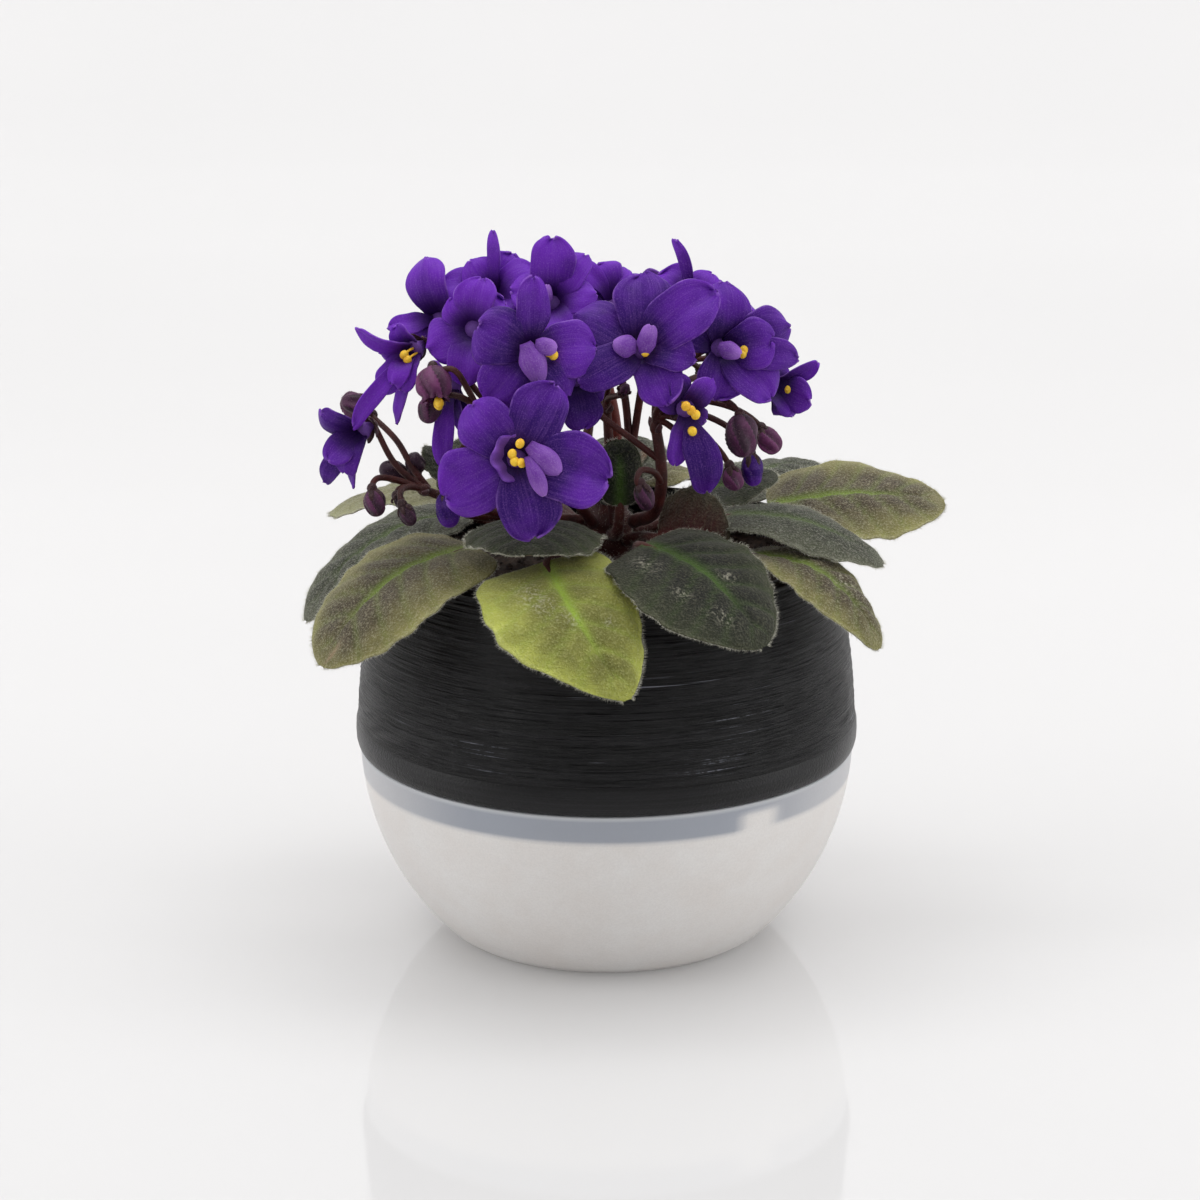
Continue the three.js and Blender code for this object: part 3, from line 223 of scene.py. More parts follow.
def tube(line, radius, sides, masks=None, kind=0, furrows=0, furrow_depth=0.0):
    """Rings about a line: centre + radius (1 - depth cos(furrows a)) (across cos a + over sin a)."""
    line = np.asarray(line, float)
    radius = np.broadcast_to(radius, len(line))
    tangent = unit(np.gradient(line, axis=0))
    turning_axis = np.linalg.svd(tangent)[2][2]
    across = unit(np.cross(tangent, turning_axis))
    over = np.cross(tangent, across)
    angle = np.linspace(0, 2 * np.pi, sides, endpoint=False)[:, None, None]
    swell = 1 - furrow_depth * np.cos(furrows * angle)
    rings = line + radius[:, None] * swell * (np.cos(angle) * across + np.sin(angle) * over)
    share = np.linspace(0, 1, len(line))
    if masks is None:
        masks = np.stack([share, np.zeros_like(share), np.zeros_like(share)], -1)
    masks = np.broadcast_to(masks, (sides, len(line), masks.shape[-1]))
    return closed_rings(rings, masks, kind)


def egg(centre, direction, length, radius, sides, steps, kind=0, masks=None, furrows=0, furrow_depth=0.0):
    """A rounded body along a direction: radius sqrt(1 - x^2) for x from -1 to 1."""
    x = -np.cos(np.linspace(0.12, np.pi - 0.06, steps))
    line = np.asarray(centre) + unit(direction) * (x * length / 2)[:, None]
    flat = None if masks is None else np.broadcast_to(np.asarray(masks, float), (steps, len(masks)))
    return tube(line, radius * np.sqrt(1 - x * x), sides, flat, kind, furrows, furrow_depth)


def line_through(points, count):
    """A smooth line through points: cubic Hermite pieces over the distance along them."""
    points = np.asarray(points, float)
    knot = np.concatenate([[0], np.cumsum(np.linalg.norm(np.diff(points, axis=0), axis=1))])
    slope = np.gradient(points, knot, axis=0)
    where = np.linspace(0, knot[-1], count)
    piece = np.clip(np.searchsorted(knot, where) - 1, 0, len(knot) - 2)
    span = (knot[piece + 1] - knot[piece])[:, None]
    x = (where - knot[piece])[:, None] / span
    ends = (1 + 2 * x) * (1 - x) ** 2 * points[piece] + x * x * (3 - 2 * x) * points[piece + 1]
    return ends + x * (1 - x) ** 2 * span * slope[piece] + x * x * (x - 1) * span * slope[piece + 1]


def bezier(a, b, c, d, count):
    """A cubic curve from a to d that leaves towards b and arrives from c."""
    x = np.linspace(0, 1, count)[:, None]
    return a * (1 - x) ** 3 + 3 * b * x * (1 - x) ** 2 + 3 * c * x * x * (1 - x) + d * x**3


def turned(profile, segments):
    """A profile of (radius, height) points turned about the Z axis, and closed there at both ends."""
    profile = np.asarray(profile, float)
    angle = np.linspace(0, 2 * np.pi, segments, endpoint=False)[:, None]
    rings = round_axis(profile[:, 0][None], angle, profile[:, 1])
    return closed_rings(rings, np.zeros((segments, len(profile), 3)))


def spikes(roots, directions, lengths, radius):
    """Hairs as closed three-sided spikes: a small triangle across each direction, and a tip."""
    directions = unit(directions)
    across = unit(np.cross(directions, random.normal(size=directions.shape)))
    over = np.cross(directions, across)
    angle = np.array([0, 2, 4]) * np.pi / 3
    ring = across[:, None] * np.cos(angle)[:, None] + over[:, None] * np.sin(angle)[:, None]
    base = roots[:, None] + radius * ring
    tip = roots + directions * np.asarray(lengths)[:, None]
    points = np.concatenate([base, tip[:, None]], axis=1).reshape(-1, 3)
    pattern = np.array([[0, 1, 3], [1, 2, 3], [2, 0, 3], [2, 1, 0]])
    triangles = (pattern[None] + 4 * np.arange(len(roots))[:, None, None]).reshape(-1, 3)
    return shape(points, triangles)


def face_normals(made):
    """Corners of a shape's faces, and their normals, each as long as twice the face's area."""
    corners = made["points"][made["triangles"]]
    return corners, np.cross(corners[:, 1] - corners[:, 0], corners[:, 2] - corners[:, 0])


def scattered(made, count, weight=None):
    """Random places on a shape's faces, by area times weight(masks), with the face's normal."""
    corners, normal = face_normals(made)
    chance = np.linalg.norm(normal, axis=1)
    if weight is not None:
        chance = chance * weight(made["masks"][made["triangles"]].mean(1))
    chosen = random.choice(len(chance), size=count, p=chance / chance.sum())
    a, b = random.random((2, count))
    a, b = np.where(a + b > 1, 1 - a, a), np.where(a + b > 1, 1 - b, b)
    mix = np.stack([1 - a - b, a, b], -1)[..., None]
    return (corners[chosen] * mix).sum(1), unit(normal[chosen])


def area_of(made):
    return np.linalg.norm(face_normals(made)[1], axis=1).sum() / 2


def fuzz(made, count, length, lean=(0, 0, 0), spread=0.45, weight=None, radius=HAIR_RADIUS):
    """Hairs that stand on a shape: normal + lean + a random part, of random length."""
    roots, normals = scattered(made, count, weight)
    directions = normals + np.asarray(lean, float) + spread * random.normal(size=normals.shape)
    lengths = length * random.uniform(0.5, 1.15, len(roots))
    return spikes(roots - 0.05 * normals, directions, lengths, radius)


def add_piece(name, made, materials, replaced=()):
    """Writes a shape to a Blender object that rides on the root body."""
    used, triangles = np.unique(made["triangles"], return_inverse=True)
    triangles = triangles.reshape(-1, 3).astype(np.int32)
    points = (made["points"][used] * MM).astype(np.float32)
    masks = made["masks"][used].astype(np.float32)
    mesh = bpy.data.meshes.new(name)
    mesh.vertices.add(len(points))
    mesh.vertices.foreach_set("co", points.ravel())
    mesh.loops.add(triangles.size)
    mesh.loops.foreach_set("vertex_index", triangles.ravel())
    mesh.polygons.add(len(triangles))
    mesh.polygons.foreach_set("loop_start", np.arange(0, triangles.size, 3, dtype=np.int32))
    mesh.polygons.foreach_set("material_index", made["kind"].astype(np.int32))
    mesh.polygons.foreach_set("use_smooth", np.ones(len(triangles), bool))
    for attribute_name, columns in (("mask_a", masks[:, :3]), ("mask_b", masks[:, 3:])):
        attribute = mesh.attributes.new(attribute_name, "FLOAT_VECTOR", "POINT")
        attribute.data.foreach_set("vector", np.ascontiguousarray(columns).ravel())
    for material in materials:
        mesh.materials.append(material)
    mesh.update(calc_edges=True)
    mesh.validate()
    piece = bpy.data.objects.new(name, mesh)
    bpy.context.scene.collection.objects.link(piece)
    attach(piece, "root")
    if replaced:
        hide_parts(*replaced)


# materials


def srgb(red, green, blue):
    """A display colour of 0 to 255 as the linear colour that a shader takes."""
    c = np.array([red, green, blue]) / 255
    linear = np.where(c <= 0.04045, c / 12.92, ((c + 0.055) / 1.055) ** 2.4)
    return (*linear.tolist(), 1.0)


def feed(tree, socket, value):
    """Links another node's output to a socket, or sets the socket to a plain value."""
    if isinstance(value, bpy.types.NodeSocket):
        tree.links.new(value, socket)
    else:
        socket.default_value = value


def node(tree, kind, inputs=None, **settings):
    made = tree.nodes.new(kind)
    for key, value in settings.items():
        setattr(made, key, value)
    for key, value in (inputs or {}).items():
        feed(tree, made.inputs[key], value)
    return made


def blend_colour(tree, share, first, second, mode="MIX"):
    """The first colour where the share is 0, the second where it is 1."""
    mix = node(tree, "ShaderNodeMix", data_type="RGBA", blend_type=mode)
    for number, value in ((0, share), (6, first), (7, second)):
        feed(tree, mix.inputs[number], value)
    return mix.outputs[2]


def math_node(tree, operation, first, second, clamp=False):
    made = node(tree, "ShaderNodeMath", {0: first, 1: second}, operation=operation, use_clamp=clamp)
    return made.outputs[0]


def plus(tree, first, second, clamp=False):
    return math_node(tree, "ADD", first, second, clamp)


def minus(tree, first, second):
    return math_node(tree, "SUBTRACT", first, second)


def times(tree, first, second):
    return math_node(tree, "MULTIPLY", first, second)


def ramp(tree, value, low, high, out_low=0.0, out_high=1.0):
    """Low to high, spread over out_low to out_high and held there."""
    made = node(tree, "ShaderNodeMapRange", {0: value, 1: low, 2: high, 3: out_low, 4: out_high})
    return made.outputs[0]


def noise(tree, vector, scale, detail=2.0, roughness=0.5, distortion=0.0):
    """Cloudy values of 0 to 1. The scale counts clouds a metre, times whatever the vector is stretched by."""
    values = {
        "Vector": vector,
        "Scale": scale,
        "Detail": detail,
        "Roughness": roughness,
        "Distortion": distortion,
    }
    return node(tree, "ShaderNodeTexNoise", values).outputs["Fac"]


def place_of(tree):
    """The place on the object, in metres."""
    return node(tree, "ShaderNodeTexCoord").outputs["Object"]


def stretched(tree, vector, scale):
    return node(tree, "ShaderNodeMapping", {"Vector": vector, "Scale": scale}).outputs[0]


def masks_of(tree, name):
    """The three masks that a shape carries under this name."""
    split = node(tree, "ShaderNodeSeparateXYZ")
    tree.links.new(node(tree, "ShaderNodeAttribute", attribute_name=name).outputs["Vector"], split.inputs[0])
    return split.outputs[0], split.outputs[1], split.outputs[2]


def new_group(name, inputs, outputs):
    """A shared effect: a shader node group with named inputs and outputs."""
    tree = bpy.data.node_groups.new(name, "ShaderNodeTree")
    for socket_name, kind, value in inputs:
        socket = tree.interface.new_socket(socket_name, in_out="INPUT", socket_type=kind)
        socket.default_value = value
    for socket_name, kind in outputs:
        tree.interface.new_socket(socket_name, in_out="OUTPUT", socket_type=kind)
    inside = tree.nodes.new("NodeGroupInput")
    result = tree.nodes.new("NodeGroupOutput")
    return tree, inside.outputs, result.inputs


COLOUR = "NodeSocketColor"
NUMBER = "NodeSocketFloat"
WHITE = (1.0, 1.0, 1.0, 1.0)


def fur_group():
    """Grain of short fur: speckles of about 0.5 mm, and combed waves of about 2 mm."""
    results = [("Light", NUMBER), ("Height", NUMBER)]
    tree, inputs, outputs = new_group("fur grain", [("Scale", NUMBER, 1.0)], results)
    place = place_of(tree)
    fine = noise(tree, place, times(tree, inputs["Scale"], 1800.0), 2.0, 0.6)
    combed = noise(tree, place, times(tree, inputs["Scale"], 620.0), 3.0, 0.6, 2.5)
    speckle = ramp(tree, fine, 0.5, 0.66)
    waves = ramp(tree, combed, 0.45, 0.7)
    tree.links.new(plus(tree, times(tree, speckle, 0.8), times(tree, waves, 0.2)), outputs["Light"])
    tree.links.new(plus(tree, fine, times(tree, combed, 0.8)), outputs["Height"])
    return tree


FUR = fur_group()


def fur(tree, scale=1.0):
    """The grain's light and height, finer where the scale is above 1."""
    made = node(tree, "ShaderNodeGroup", node_tree=FUR)
    made.inputs["Scale"].default_value = scale
    return made.outputs["Light"], made.outputs["Height"]


def leaf_group():
    """Colour of a blade from its masks, which are midrib, side veins, underside, edge, dust and dry spots.
    The centre's colour clouds over into the edge's, then come veins, fur, a pale rim of fur that is partly a
    painted highlight, midrib, dust and dry spots."""
    inputs = [
        ("Edge", COLOUR, WHITE),
        ("Centre", COLOUR, WHITE),
        ("Rib", COLOUR, WHITE),
        ("Under", COLOUR, WHITE),
        ("Fur", COLOUR, WHITE),
        ("Fur share", NUMBER, 0.4),
    ]
    tree, given, outputs = new_group("leaf skin", inputs, [("Color", COLOUR), ("Height", NUMBER)])
    place = place_of(tree)
    rib, veins, under = masks_of(tree, "mask_a")
    edge, dust, dry = masks_of(tree, "mask_b")
    light, height = fur(tree)
    blotch = noise(tree, place, 75.0, 4.0, 0.6, 0.6)
    wander = times(tree, minus(tree, blotch, 0.5), 1.1)
    colour = blend_colour(tree, plus(tree, edge, wander, clamp=True), given["Centre"], given["Edge"])
    cloud = ramp(tree, noise(tree, place, 210.0, 3.0, 0.6), 0.35, 0.7, 0.86, 1.12)
    shade = node(tree, "ShaderNodeCombineColor", {0: cloud, 1: cloud, 2: cloud}).outputs[0]
    colour = blend_colour(tree, 1.0, colour, shade, "MULTIPLY")
    colour = blend_colour(tree, times(tree, veins, 0.3), colour, given["Rib"])
    furred = times(tree, light, given["Fur share"])
    colour = blend_colour(tree, furred, colour, given["Fur"])
    # fur's colour on a rim about a millimetre wide: the pale hairs of the edge, and a painted highlight along
    # it
    fringe = times(tree, ramp(tree, edge, 0.82, 0.98, 0.0, 0.6), ramp(tree, light, 0.0, 1.0, 0.4, 1.0))
    colour = blend_colour(tree, fringe, colour, given["Fur"])
    rib_edge = times(tree, rib, ramp(tree, blotch, 0.3, 0.6, 0.75, 1.0))
    colour = blend_colour(tree, rib_edge, colour, given["Rib"])
    flecks = ramp(tree, noise(tree, place, 900.0, 4.0, 0.75), 0.5, 0.66, 0.0, 0.75)
    colour = blend_colour(tree, times(tree, flecks, dust), colour, srgb(196, 192, 172))
    burnt = times(tree, ramp(tree, noise(tree, place, 420.0, 3.0, 0.7), 0.3, 0.5), dry)
    colour = blend_colour(tree, burnt, colour, srgb(152, 132, 104))
    below = blend_colour(tree, times(tree, light, 0.25), given["Under"], given["Fur"])
    colour = blend_colour(tree, under, colour, below)
    tree.links.new(colour, outputs["Color"])
    tree.links.new(height, outputs["Height"])
    return tree


LEAF = leaf_group()


def start_material(name):
    made = bpy.data.materials.new(name)
    made.use_nodes = True
    return made, made.node_tree, made.node_tree.nodes["Principled BSDF"]


def set_surface(tree, shader, colour, roughness, specular=0.5):
    feed(tree, shader.inputs["Base Color"], colour)
    feed(tree, shader.inputs["Roughness"], roughness)
    shader.inputs["Specular IOR Level"].default_value = specular


def set_sheen(shader, weight, roughness, tint=WHITE):
    """The soft light at the edges of anything furry."""
    shader.inputs["Sheen Weight"].default_value = weight
    shader.inputs["Sheen Roughness"].default_value = roughness
    shader.inputs["Sheen Tint"].default_value = tint


def bump(tree, shader, height, strength, distance):
    """Relief in the light alone: the distance is how high a height of 1 stands, in metres."""
    made = node(tree, "ShaderNodeBump", {"Height": height, "Strength": strength, "Distance": distance})
    tree.links.new(made.outputs[0], shader.inputs["Normal"])


# colours of each look's edge, centre, veins and fur, and how much of the blade the fur covers
LEAF_LOOKS = {
    "olive": ((142, 138, 80), (66, 54, 40), (126, 154, 56), (200, 194, 162), 0.4),
    "lime": ((186, 192, 88), (114, 114, 50), (160, 190, 68), (218, 220, 150), 0.28),
    "dark": ((48, 52, 32), (8, 9, 6), (74, 104, 38), (122, 122, 100), 0.32),
    "grey": ((96, 98, 80), (40, 42, 34), (88, 108, 56), (172, 172, 156), 0.44),
    "wine": ((50, 50, 30), (64, 28, 24), (112, 30, 34), (128, 118, 98), 0.3),
    "pale": ((152, 152, 112), (126, 122, 94), (146, 152, 98), (186, 184, 156), 0.4),
}
LEAF_UNDERSIDE = (128, 104, 84)


def leaf_material(name, edge, centre, rib, fur_colour, fur_share):
    made, tree, shader = start_material(name)
    skin = node(tree, "ShaderNodeGroup", node_tree=LEAF)
    colours = {"Edge": edge, "Centre": centre, "Rib": rib, "Under": LEAF_UNDERSIDE, "Fur": fur_colour}
    for key, value in colours.items():
        skin.inputs[key].default_value = srgb(*value)
    skin.inputs["Fur share"].default_value = fur_share
    set_surface(tree, shader, skin.outputs["Color"], 0.58, 0.28)
    set_sheen(shader, 0.17, 0.26, srgb(215, 215, 195))
    bump(tree, shader, skin.outputs["Height"], 1.0, 0.0007)
    return made


def stalk_material(name, dark, light, fur_colour, fur_share, sheen=0.1):
    """Petioles, flower stalks, sepals and buds: two colours that run into each other, under thin fur."""
    made, tree, shader = start_material(name)
    place = place_of(tree)
    tone = masks_of(tree, "mask_a")[1]
    patch = ramp(tree, noise(tree, place, 260.0, 3.0, 0.6), 0.3, 0.75)
    share = plus(tree, times(tree, patch, 0.45), tone, clamp=True)
    colour = blend_colour(tree, share, srgb(*dark), srgb(*light))
    grain, height = fur(tree, 1.2)
    colour = blend_colour(tree, times(tree, grain, fur_share), colour, srgb(*fur_colour))
    set_surface(tree, shader, colour, 0.5, 0.3)
    set_sheen(shader, sheen, 0.4)
    bump(tree, shader, height, 0.4, 0.0003)
    return made


def hair_material(name, dull, pale):
    """Fine plant hair in two tones."""
    made, tree, shader = start_material(name)
    patch = noise(tree, place_of(tree), 900.0, 1.0)
    set_surface(tree, shader, blend_colour(tree, patch, srgb(*dull), srgb(*pale)), 0.5, 0.3)
    return made


# the two tones of the short fur on each tint of leaf
FUR_TONES = {
    "olive": ((158, 154, 122), (214, 212, 188)),
    "lime": ((160, 166, 98), (206, 210, 146)),
    "dark": ((80, 82, 68), (146, 146, 130)),
    "grey": ((132, 132, 118), (200, 200, 188)),
}


def petal_group():
    """Colour of a petal from its masks, which are the place along it, the distance from its middle, the
    underside, its tone, the place across it and the throat. Deep clouds over into bright, with pale streaks,
    painted glints and rim, and darkens at the throat, partly in the petal's own colour and partly as painted
    shade in the funnel."""
    inputs = [(key, COLOUR, WHITE) for key in ("Deep", "Bright", "Pale", "Throat")]
    tree, given, outputs = new_group("petal skin", inputs, [("Color", COLOUR), ("Height", NUMBER)])
    place = place_of(tree)
    along, side, under = masks_of(tree, "mask_a")
    tone, across, throat = masks_of(tree, "mask_b")
    cloud = noise(tree, place, 130.0, 3.0, 0.55)
    wander = times(tree, minus(tree, cloud, 0.5), 1.2)
    outer = ramp(tree, along, 0.15, 1.0, -0.15, 0.6)
    share = plus(tree, plus(tree, outer, wander), tone, clamp=True)
    colour = blend_colour(tree, share, given["Deep"], given["Bright"])
    fan = node(tree, "ShaderNodeCombineXYZ", {0: across, 1: along, 2: tone}).outputs[0]
    streaks = noise(tree, stretched(tree, fan, (16.0, 1.6, 5.0)), 1.0, 3.0, 0.65)
    streak_share = ramp(tree, streaks, 0.45, 0.8, 0.0, 0.15)
    colour = blend_colour(tree, streak_share, colour, given["Pale"])
    # painted glints: fine pale specks for the sparkle of light on the petal, which also feed its bump
    painted_glints = noise(tree, place, 3200.0, 1.0)
    colour = blend_colour(tree, ramp(tree, painted_glints, 0.52, 0.8, 0.0, 0.2), colour, given["Pale"])
    side_edge = ramp(tree, side, 0.93, 1.0, 0.0, 0.5)
    end_edge = ramp(tree, along, 0.975, 1.0, 0.0, 0.5)
    edge = math_node(tree, "MAXIMUM", side_edge, end_edge)
    rim = times(tree, edge, ramp(tree, noise(tree, place, 380.0, 3.0, 0.6), 0.4, 0.62))
    colour = blend_colour(tree, rim, colour, given["Pale"])
    # darker at the throat: the petal's own deeper colour there, and painted shade in the funnel
    colour = blend_colour(tree, throat, colour, given["Throat"])
    back = blend_colour(tree, 0.3, colour, given["Pale"])
    colour = blend_colour(tree, under, colour, back)
    height = plus(tree, times(tree, streaks, 0.5), times(tree, painted_glints, 0.35))
    tree.links.new(colour, outputs["Color"])
    tree.links.new(height, outputs["Height"])
    return tree


PETAL = petal_group()


def petal_material(name, deep, bright, pale, throat):
    made, tree, shader = start_material(name)
    skin = node(tree, "ShaderNodeGroup", node_tree=PETAL)
    for key, value in {"Deep": deep, "Bright": bright, "Pale": pale, "Throat": throat}.items():
        skin.inputs[key].default_value = srgb(*value)
    set_surface(tree, shader, skin.outputs["Color"], 0.5, 0.14)
    set_sheen(shader, 0.04, 0.3, srgb(190, 160, 230))
    bump(tree, shader, skin.outputs["Height"], 0.35, 0.0005)
    return made


def anther_material():
    """Bright yellow, matte with pollen."""
    made, tree, shader = start_material("anther yellow")
    place = place_of(tree)
    grain = noise(tree, place, 2400.0, 2.0)
    shade = noise(tree, place, 420.0, 2.0)
    colour = blend_colour(tree, ramp(tree, shade, 0.35, 0.7), srgb(226, 168, 24), srgb(250, 208, 50))
    pollen = ramp(tree, grain, 0.55, 0.8, 0.0, 0.6)
    colour = blend_colour(tree, pollen, colour, srgb(255, 232, 120))
    set_surface(tree, shader, colour, 0.55)
    bump(tree, shader, grain, 0.5, 0.0003)
    return made


def scuff_group():
    """Wear of a moulded surface: thin scratches that run round it, more of them in its worn zones, and
    cloudy marks."""
    inputs = [("Along", NUMBER, 1.0), ("Worn", NUMBER, 0.0)]
    tree, given, outputs = new_group("scuffs", inputs, [("Scratches", NUMBER), ("Marks", NUMBER)])
    place = place_of(tree)
    thin = noise(tree, stretched(tree, place, (22.0, 22.0, 2600.0)), 1.0, 2.0, 0.7)
    where = noise(tree, stretched(tree, place, (60.0, 60.0, 200.0)), 1.0, 2.0, 0.5)
    broken = ramp(tree, noise(tree, stretched(tree, place, (500.0, 500.0, 900.0)), 1.0, 3.0, 0.7), 0.42, 0.6)
    worn = times(tree, given["Worn"], 0.09)
    patches = ramp(tree, where, 0.56, 0.68)
    spread = plus(tree, patches, times(tree, given["Worn"], broken), clamp=True)
    chosen = times(tree, ramp(tree, plus(tree, thin, worn), 0.66, 0.72), spread)
    tree.links.new(times(tree, chosen, given["Along"]), outputs["Scratches"])
    tree.links.new(noise(tree, place, 45.0, 5.0, 0.65), outputs["Marks"])
    return tree


SCUFFS = scuff_group()


def scuffs(tree, along, worn=None):
    """Scratches and marks. Along is the scratches' strength, and worn the mask of the worn zones."""
    made = node(tree, "ShaderNodeGroup", node_tree=SCUFFS)
    made.inputs["Along"].default_value = along
    if worn is not None:
        tree.links.new(worn, made.inputs["Worn"])
    return made.outputs["Scratches"], made.outputs["Marks"]


def shell_material():
    """Black moulded plastic with fine turned lines between the ridges, grey scratches and faint marks."""
    made, tree, shader = start_material("black planter plastic")
    place = place_of(tree)
    plain, worn, _ = masks_of(tree, "mask_a")
    lines = noise(tree, stretched(tree, place, (9.0, 9.0, 1150.0)), 1.0, 4.0, 0.7)
    scratches, marks = scuffs(tree, 1.0, worn)
    grooved = minus(tree, 1.0, plain)
    colour = blend_colour(tree, ramp(tree, lines, 0.45, 0.62), srgb(1, 1, 2), srgb(20, 19, 22))
    colour = blend_colour(tree, ramp(tree, marks, 0.4, 0.75, 0.0, 0.5), colour, srgb(12, 11, 13))
    colour = blend_colour(tree, times(tree, scratches, grooved), colour, srgb(128, 130, 140))
    set_surface(tree, shader, colour, ramp(tree, marks, 0.3, 0.7, 0.3, 0.42), 0.3)
    grain = noise(tree, place, 1800.0, 2.0)
    height = plus(tree, times(tree, lines, grooved), times(tree, grain, 0.12))
    bump(tree, shader, height, 1.0, 0.0014)
    return made


def bowl_material():
    """Frosted milky plastic that lets part of the light through, with a fine grain and faint turned lines.
    The dark skirt behind it is painted on as shade, and a highlight along its rim.
    """
    made, tree, shader = start_material("frosted bowl plastic")
    place = place_of(tree)
    scratches, marks = scuffs(tree, 0.6)
    colour = blend_colour(tree, ramp(tree, marks, 0.35, 0.7), srgb(243, 238, 234), srgb(249, 247, 245))
    colour = blend_colour(tree, times(tree, scratches, 0.5), colour, srgb(205, 203, 200))
    # masks for the painted shade of the skirt behind the wall, the painted rim highlight, and the side
    behind, painted_rim_highlight, side = masks_of(tree, "mask_a")
    frost = ramp(tree, noise(tree, place, 1900.0, 2.0, 0.7), 0.35, 0.65, 0.0, 0.22)
    colour = blend_colour(tree, frost, colour, srgb(214, 211, 208))
    # painted shade of the dark skirt behind the milky wall, thinner towards the sides
    painted_skirt_shade = times(tree, behind, ramp(tree, side, 0.0, 1.0, 0.86, 0.5))
    colour = blend_colour(tree, painted_skirt_shade, colour, srgb(154, 161, 174))
    # painted highlight along the rim
    colour = blend_colour(tree, painted_rim_highlight, colour, srgb(206, 208, 212))
    set_surface(tree, shader, colour, ramp(tree, marks, 0.3, 0.7, 0.3, 0.38))
    shader.inputs["IOR"].default_value = 1.3
    shader.inputs["Transmission Weight"].default_value = 0.15
    grain = noise(tree, place, 1500.0, 3.0)
    turned_lines = noise(tree, stretched(tree, place, (6.0, 6.0, 700.0)), 1.0, 2.0)
    bump(tree, shader, plus(tree, grain, times(tree, turned_lines, 0.6)), 0.15, 0.0004)
    return made


def soil_material():
    """Dark peat: brown and black crumbs with a few pale fibres."""
    made, tree, shader = start_material("potting soil")
    place = place_of(tree)
    crumbs = noise(tree, place, 420.0, 6.0, 0.7)
    fibres = noise(tree, stretched(tree, place, (300.0, 1900.0, 1200.0)), 1.0, 2.0, 0.6, 1.5)
    colour = blend_colour(tree, ramp(tree, crumbs, 0.35, 0.65), srgb(22, 15, 11), srgb(62, 44, 32))
    colour = blend_colour(tree, ramp(tree, fibres, 0.68, 0.74, 0.0, 0.7), colour, srgb(120, 92, 62))
    set_surface(tree, shader, colour, 0.92)
    bump(tree, shader, crumbs, 1.0, 0.0016)
    return made


def floor_material():
    """Pale, slightly glossy table top that runs up into the backdrop, and is clear from behind."""
    made, tree, shader = start_material("studio floor")
    cloud = noise(tree, place_of(tree), 3.0, 2.0)
    colour = blend_colour(tree, cloud, srgb(202, 201, 201), srgb(208, 207, 207))
    set_surface(tree, shader, colour, 0.06, 0.28)
    shader.inputs["Emission Color"].default_value = WHITE
    shader.inputs["Emission Strength"].default_value = 0.085
    behind = node(tree, "ShaderNodeNewGeometry").outputs["Backfacing"]
    tree.links.new(minus(tree, 1.0, behind), shader.inputs["Alpha"])
    return made


# pot


def shell_radius(z):
    """The grooved wall: a straight taper with a slight bulge."""
    share = (z - BAND_TOP_Z) / (RIM_Z - BAND_TOP_Z)
    straight = BAND_RADIUS - 0.4 + (RIM_RADIUS - BAND_RADIUS + 0.4) * share
    return straight + SHELL_BULGE * 4 * share * (1 - share)


def ridges(angle, z):
    """Depth of the hand-turned ridges, 0 to 1: two close pitches whose lines rise, fall and fade round the
    pot."""
    wander = 0.9 * np.sin(2 * angle + 0.8) + 0.55 * np.sin(5 * angle + 0.21 * z)
    wander = wander + 0.35 * np.sin(9 * angle - 0.5 * z)
    first = np.sin(2 * np.pi * (z + wander) / 2.3)
    second = np.sin(2 * np.pi * (z - 0.8 * wander + 0.6 * np.sin(3 * angle)) / 1.55 + 1.2)
    fade = 0.5 + 0.5 * np.sin(4 * angle + 0.35 * z + 1.7)
    return 0.5 * np.abs(first) ** 0.7 * (0.45 + 0.55 * fade) + 0.5 * np.abs(second) ** 0.8 * (1 - 0.6 * fade)


def sleeve_profile():
    """The planter's wall as (radius, height) points: band, grooved wall, lip, and down again inside. Also a 1
    for each of them that is grooved."""
    band = [
        [SKIRT_RADIUS - 0.2, BORDER_Z],
        [BAND_RADIUS - 1.2, BORDER_Z],
        [BAND_RADIUS - 0.65, BORDER_Z + 0.2],
        [BAND_RADIUS - 0.4, BORDER_Z + 0.8],
        [BAND_RADIUS - 0.1, BORDER_Z + 2],
        [BAND_RADIUS, BORDER_Z + 4],
        [BAND_RADIUS - 0.08, BAND_TOP_Z - 0.8],
        [BAND_RADIUS - 0.25, BAND_TOP_Z - 0.1],
    ]
    lip = [
        [RIM_RADIUS, RIM_Z - 0.8],
        [RIM_RADIUS - 0.25, RIM_Z - 0.25],
        [RIM_RADIUS - 0.8, RIM_Z],
        [RIM_RADIUS - SHELL_WALL + 0.6, RIM_Z],
        [RIM_RADIUS - SHELL_WALL + 0.15, RIM_Z - 0.25],
        [RIM_RADIUS - SHELL_WALL, RIM_Z - 0.8],
    ]
    wall_z = np.linspace(BAND_TOP_Z + 0.4, RIM_Z - 1.4, 150)
    wall = np.stack([shell_radius(wall_z), wall_z], -1)
    inner_z = np.linspace(RIM_Z - 3, BAND_TOP_Z, 12)
    inside = np.stack([shell_radius(inner_z) - SHELL_WALL, inner_z], -1)
    foot_radius = SKIRT_RADIUS - SKIRT_WALL + 0.1
    foot = [[foot_radius, BORDER_Z + 3], [foot_radius, BORDER_Z]]
    profile = np.concatenate([band, wall, lip, inside, foot])
    grooved = np.zeros(len(profile))
    grooved[len(band) : len(band) + len(wall)] = 1
    return profile, grooved


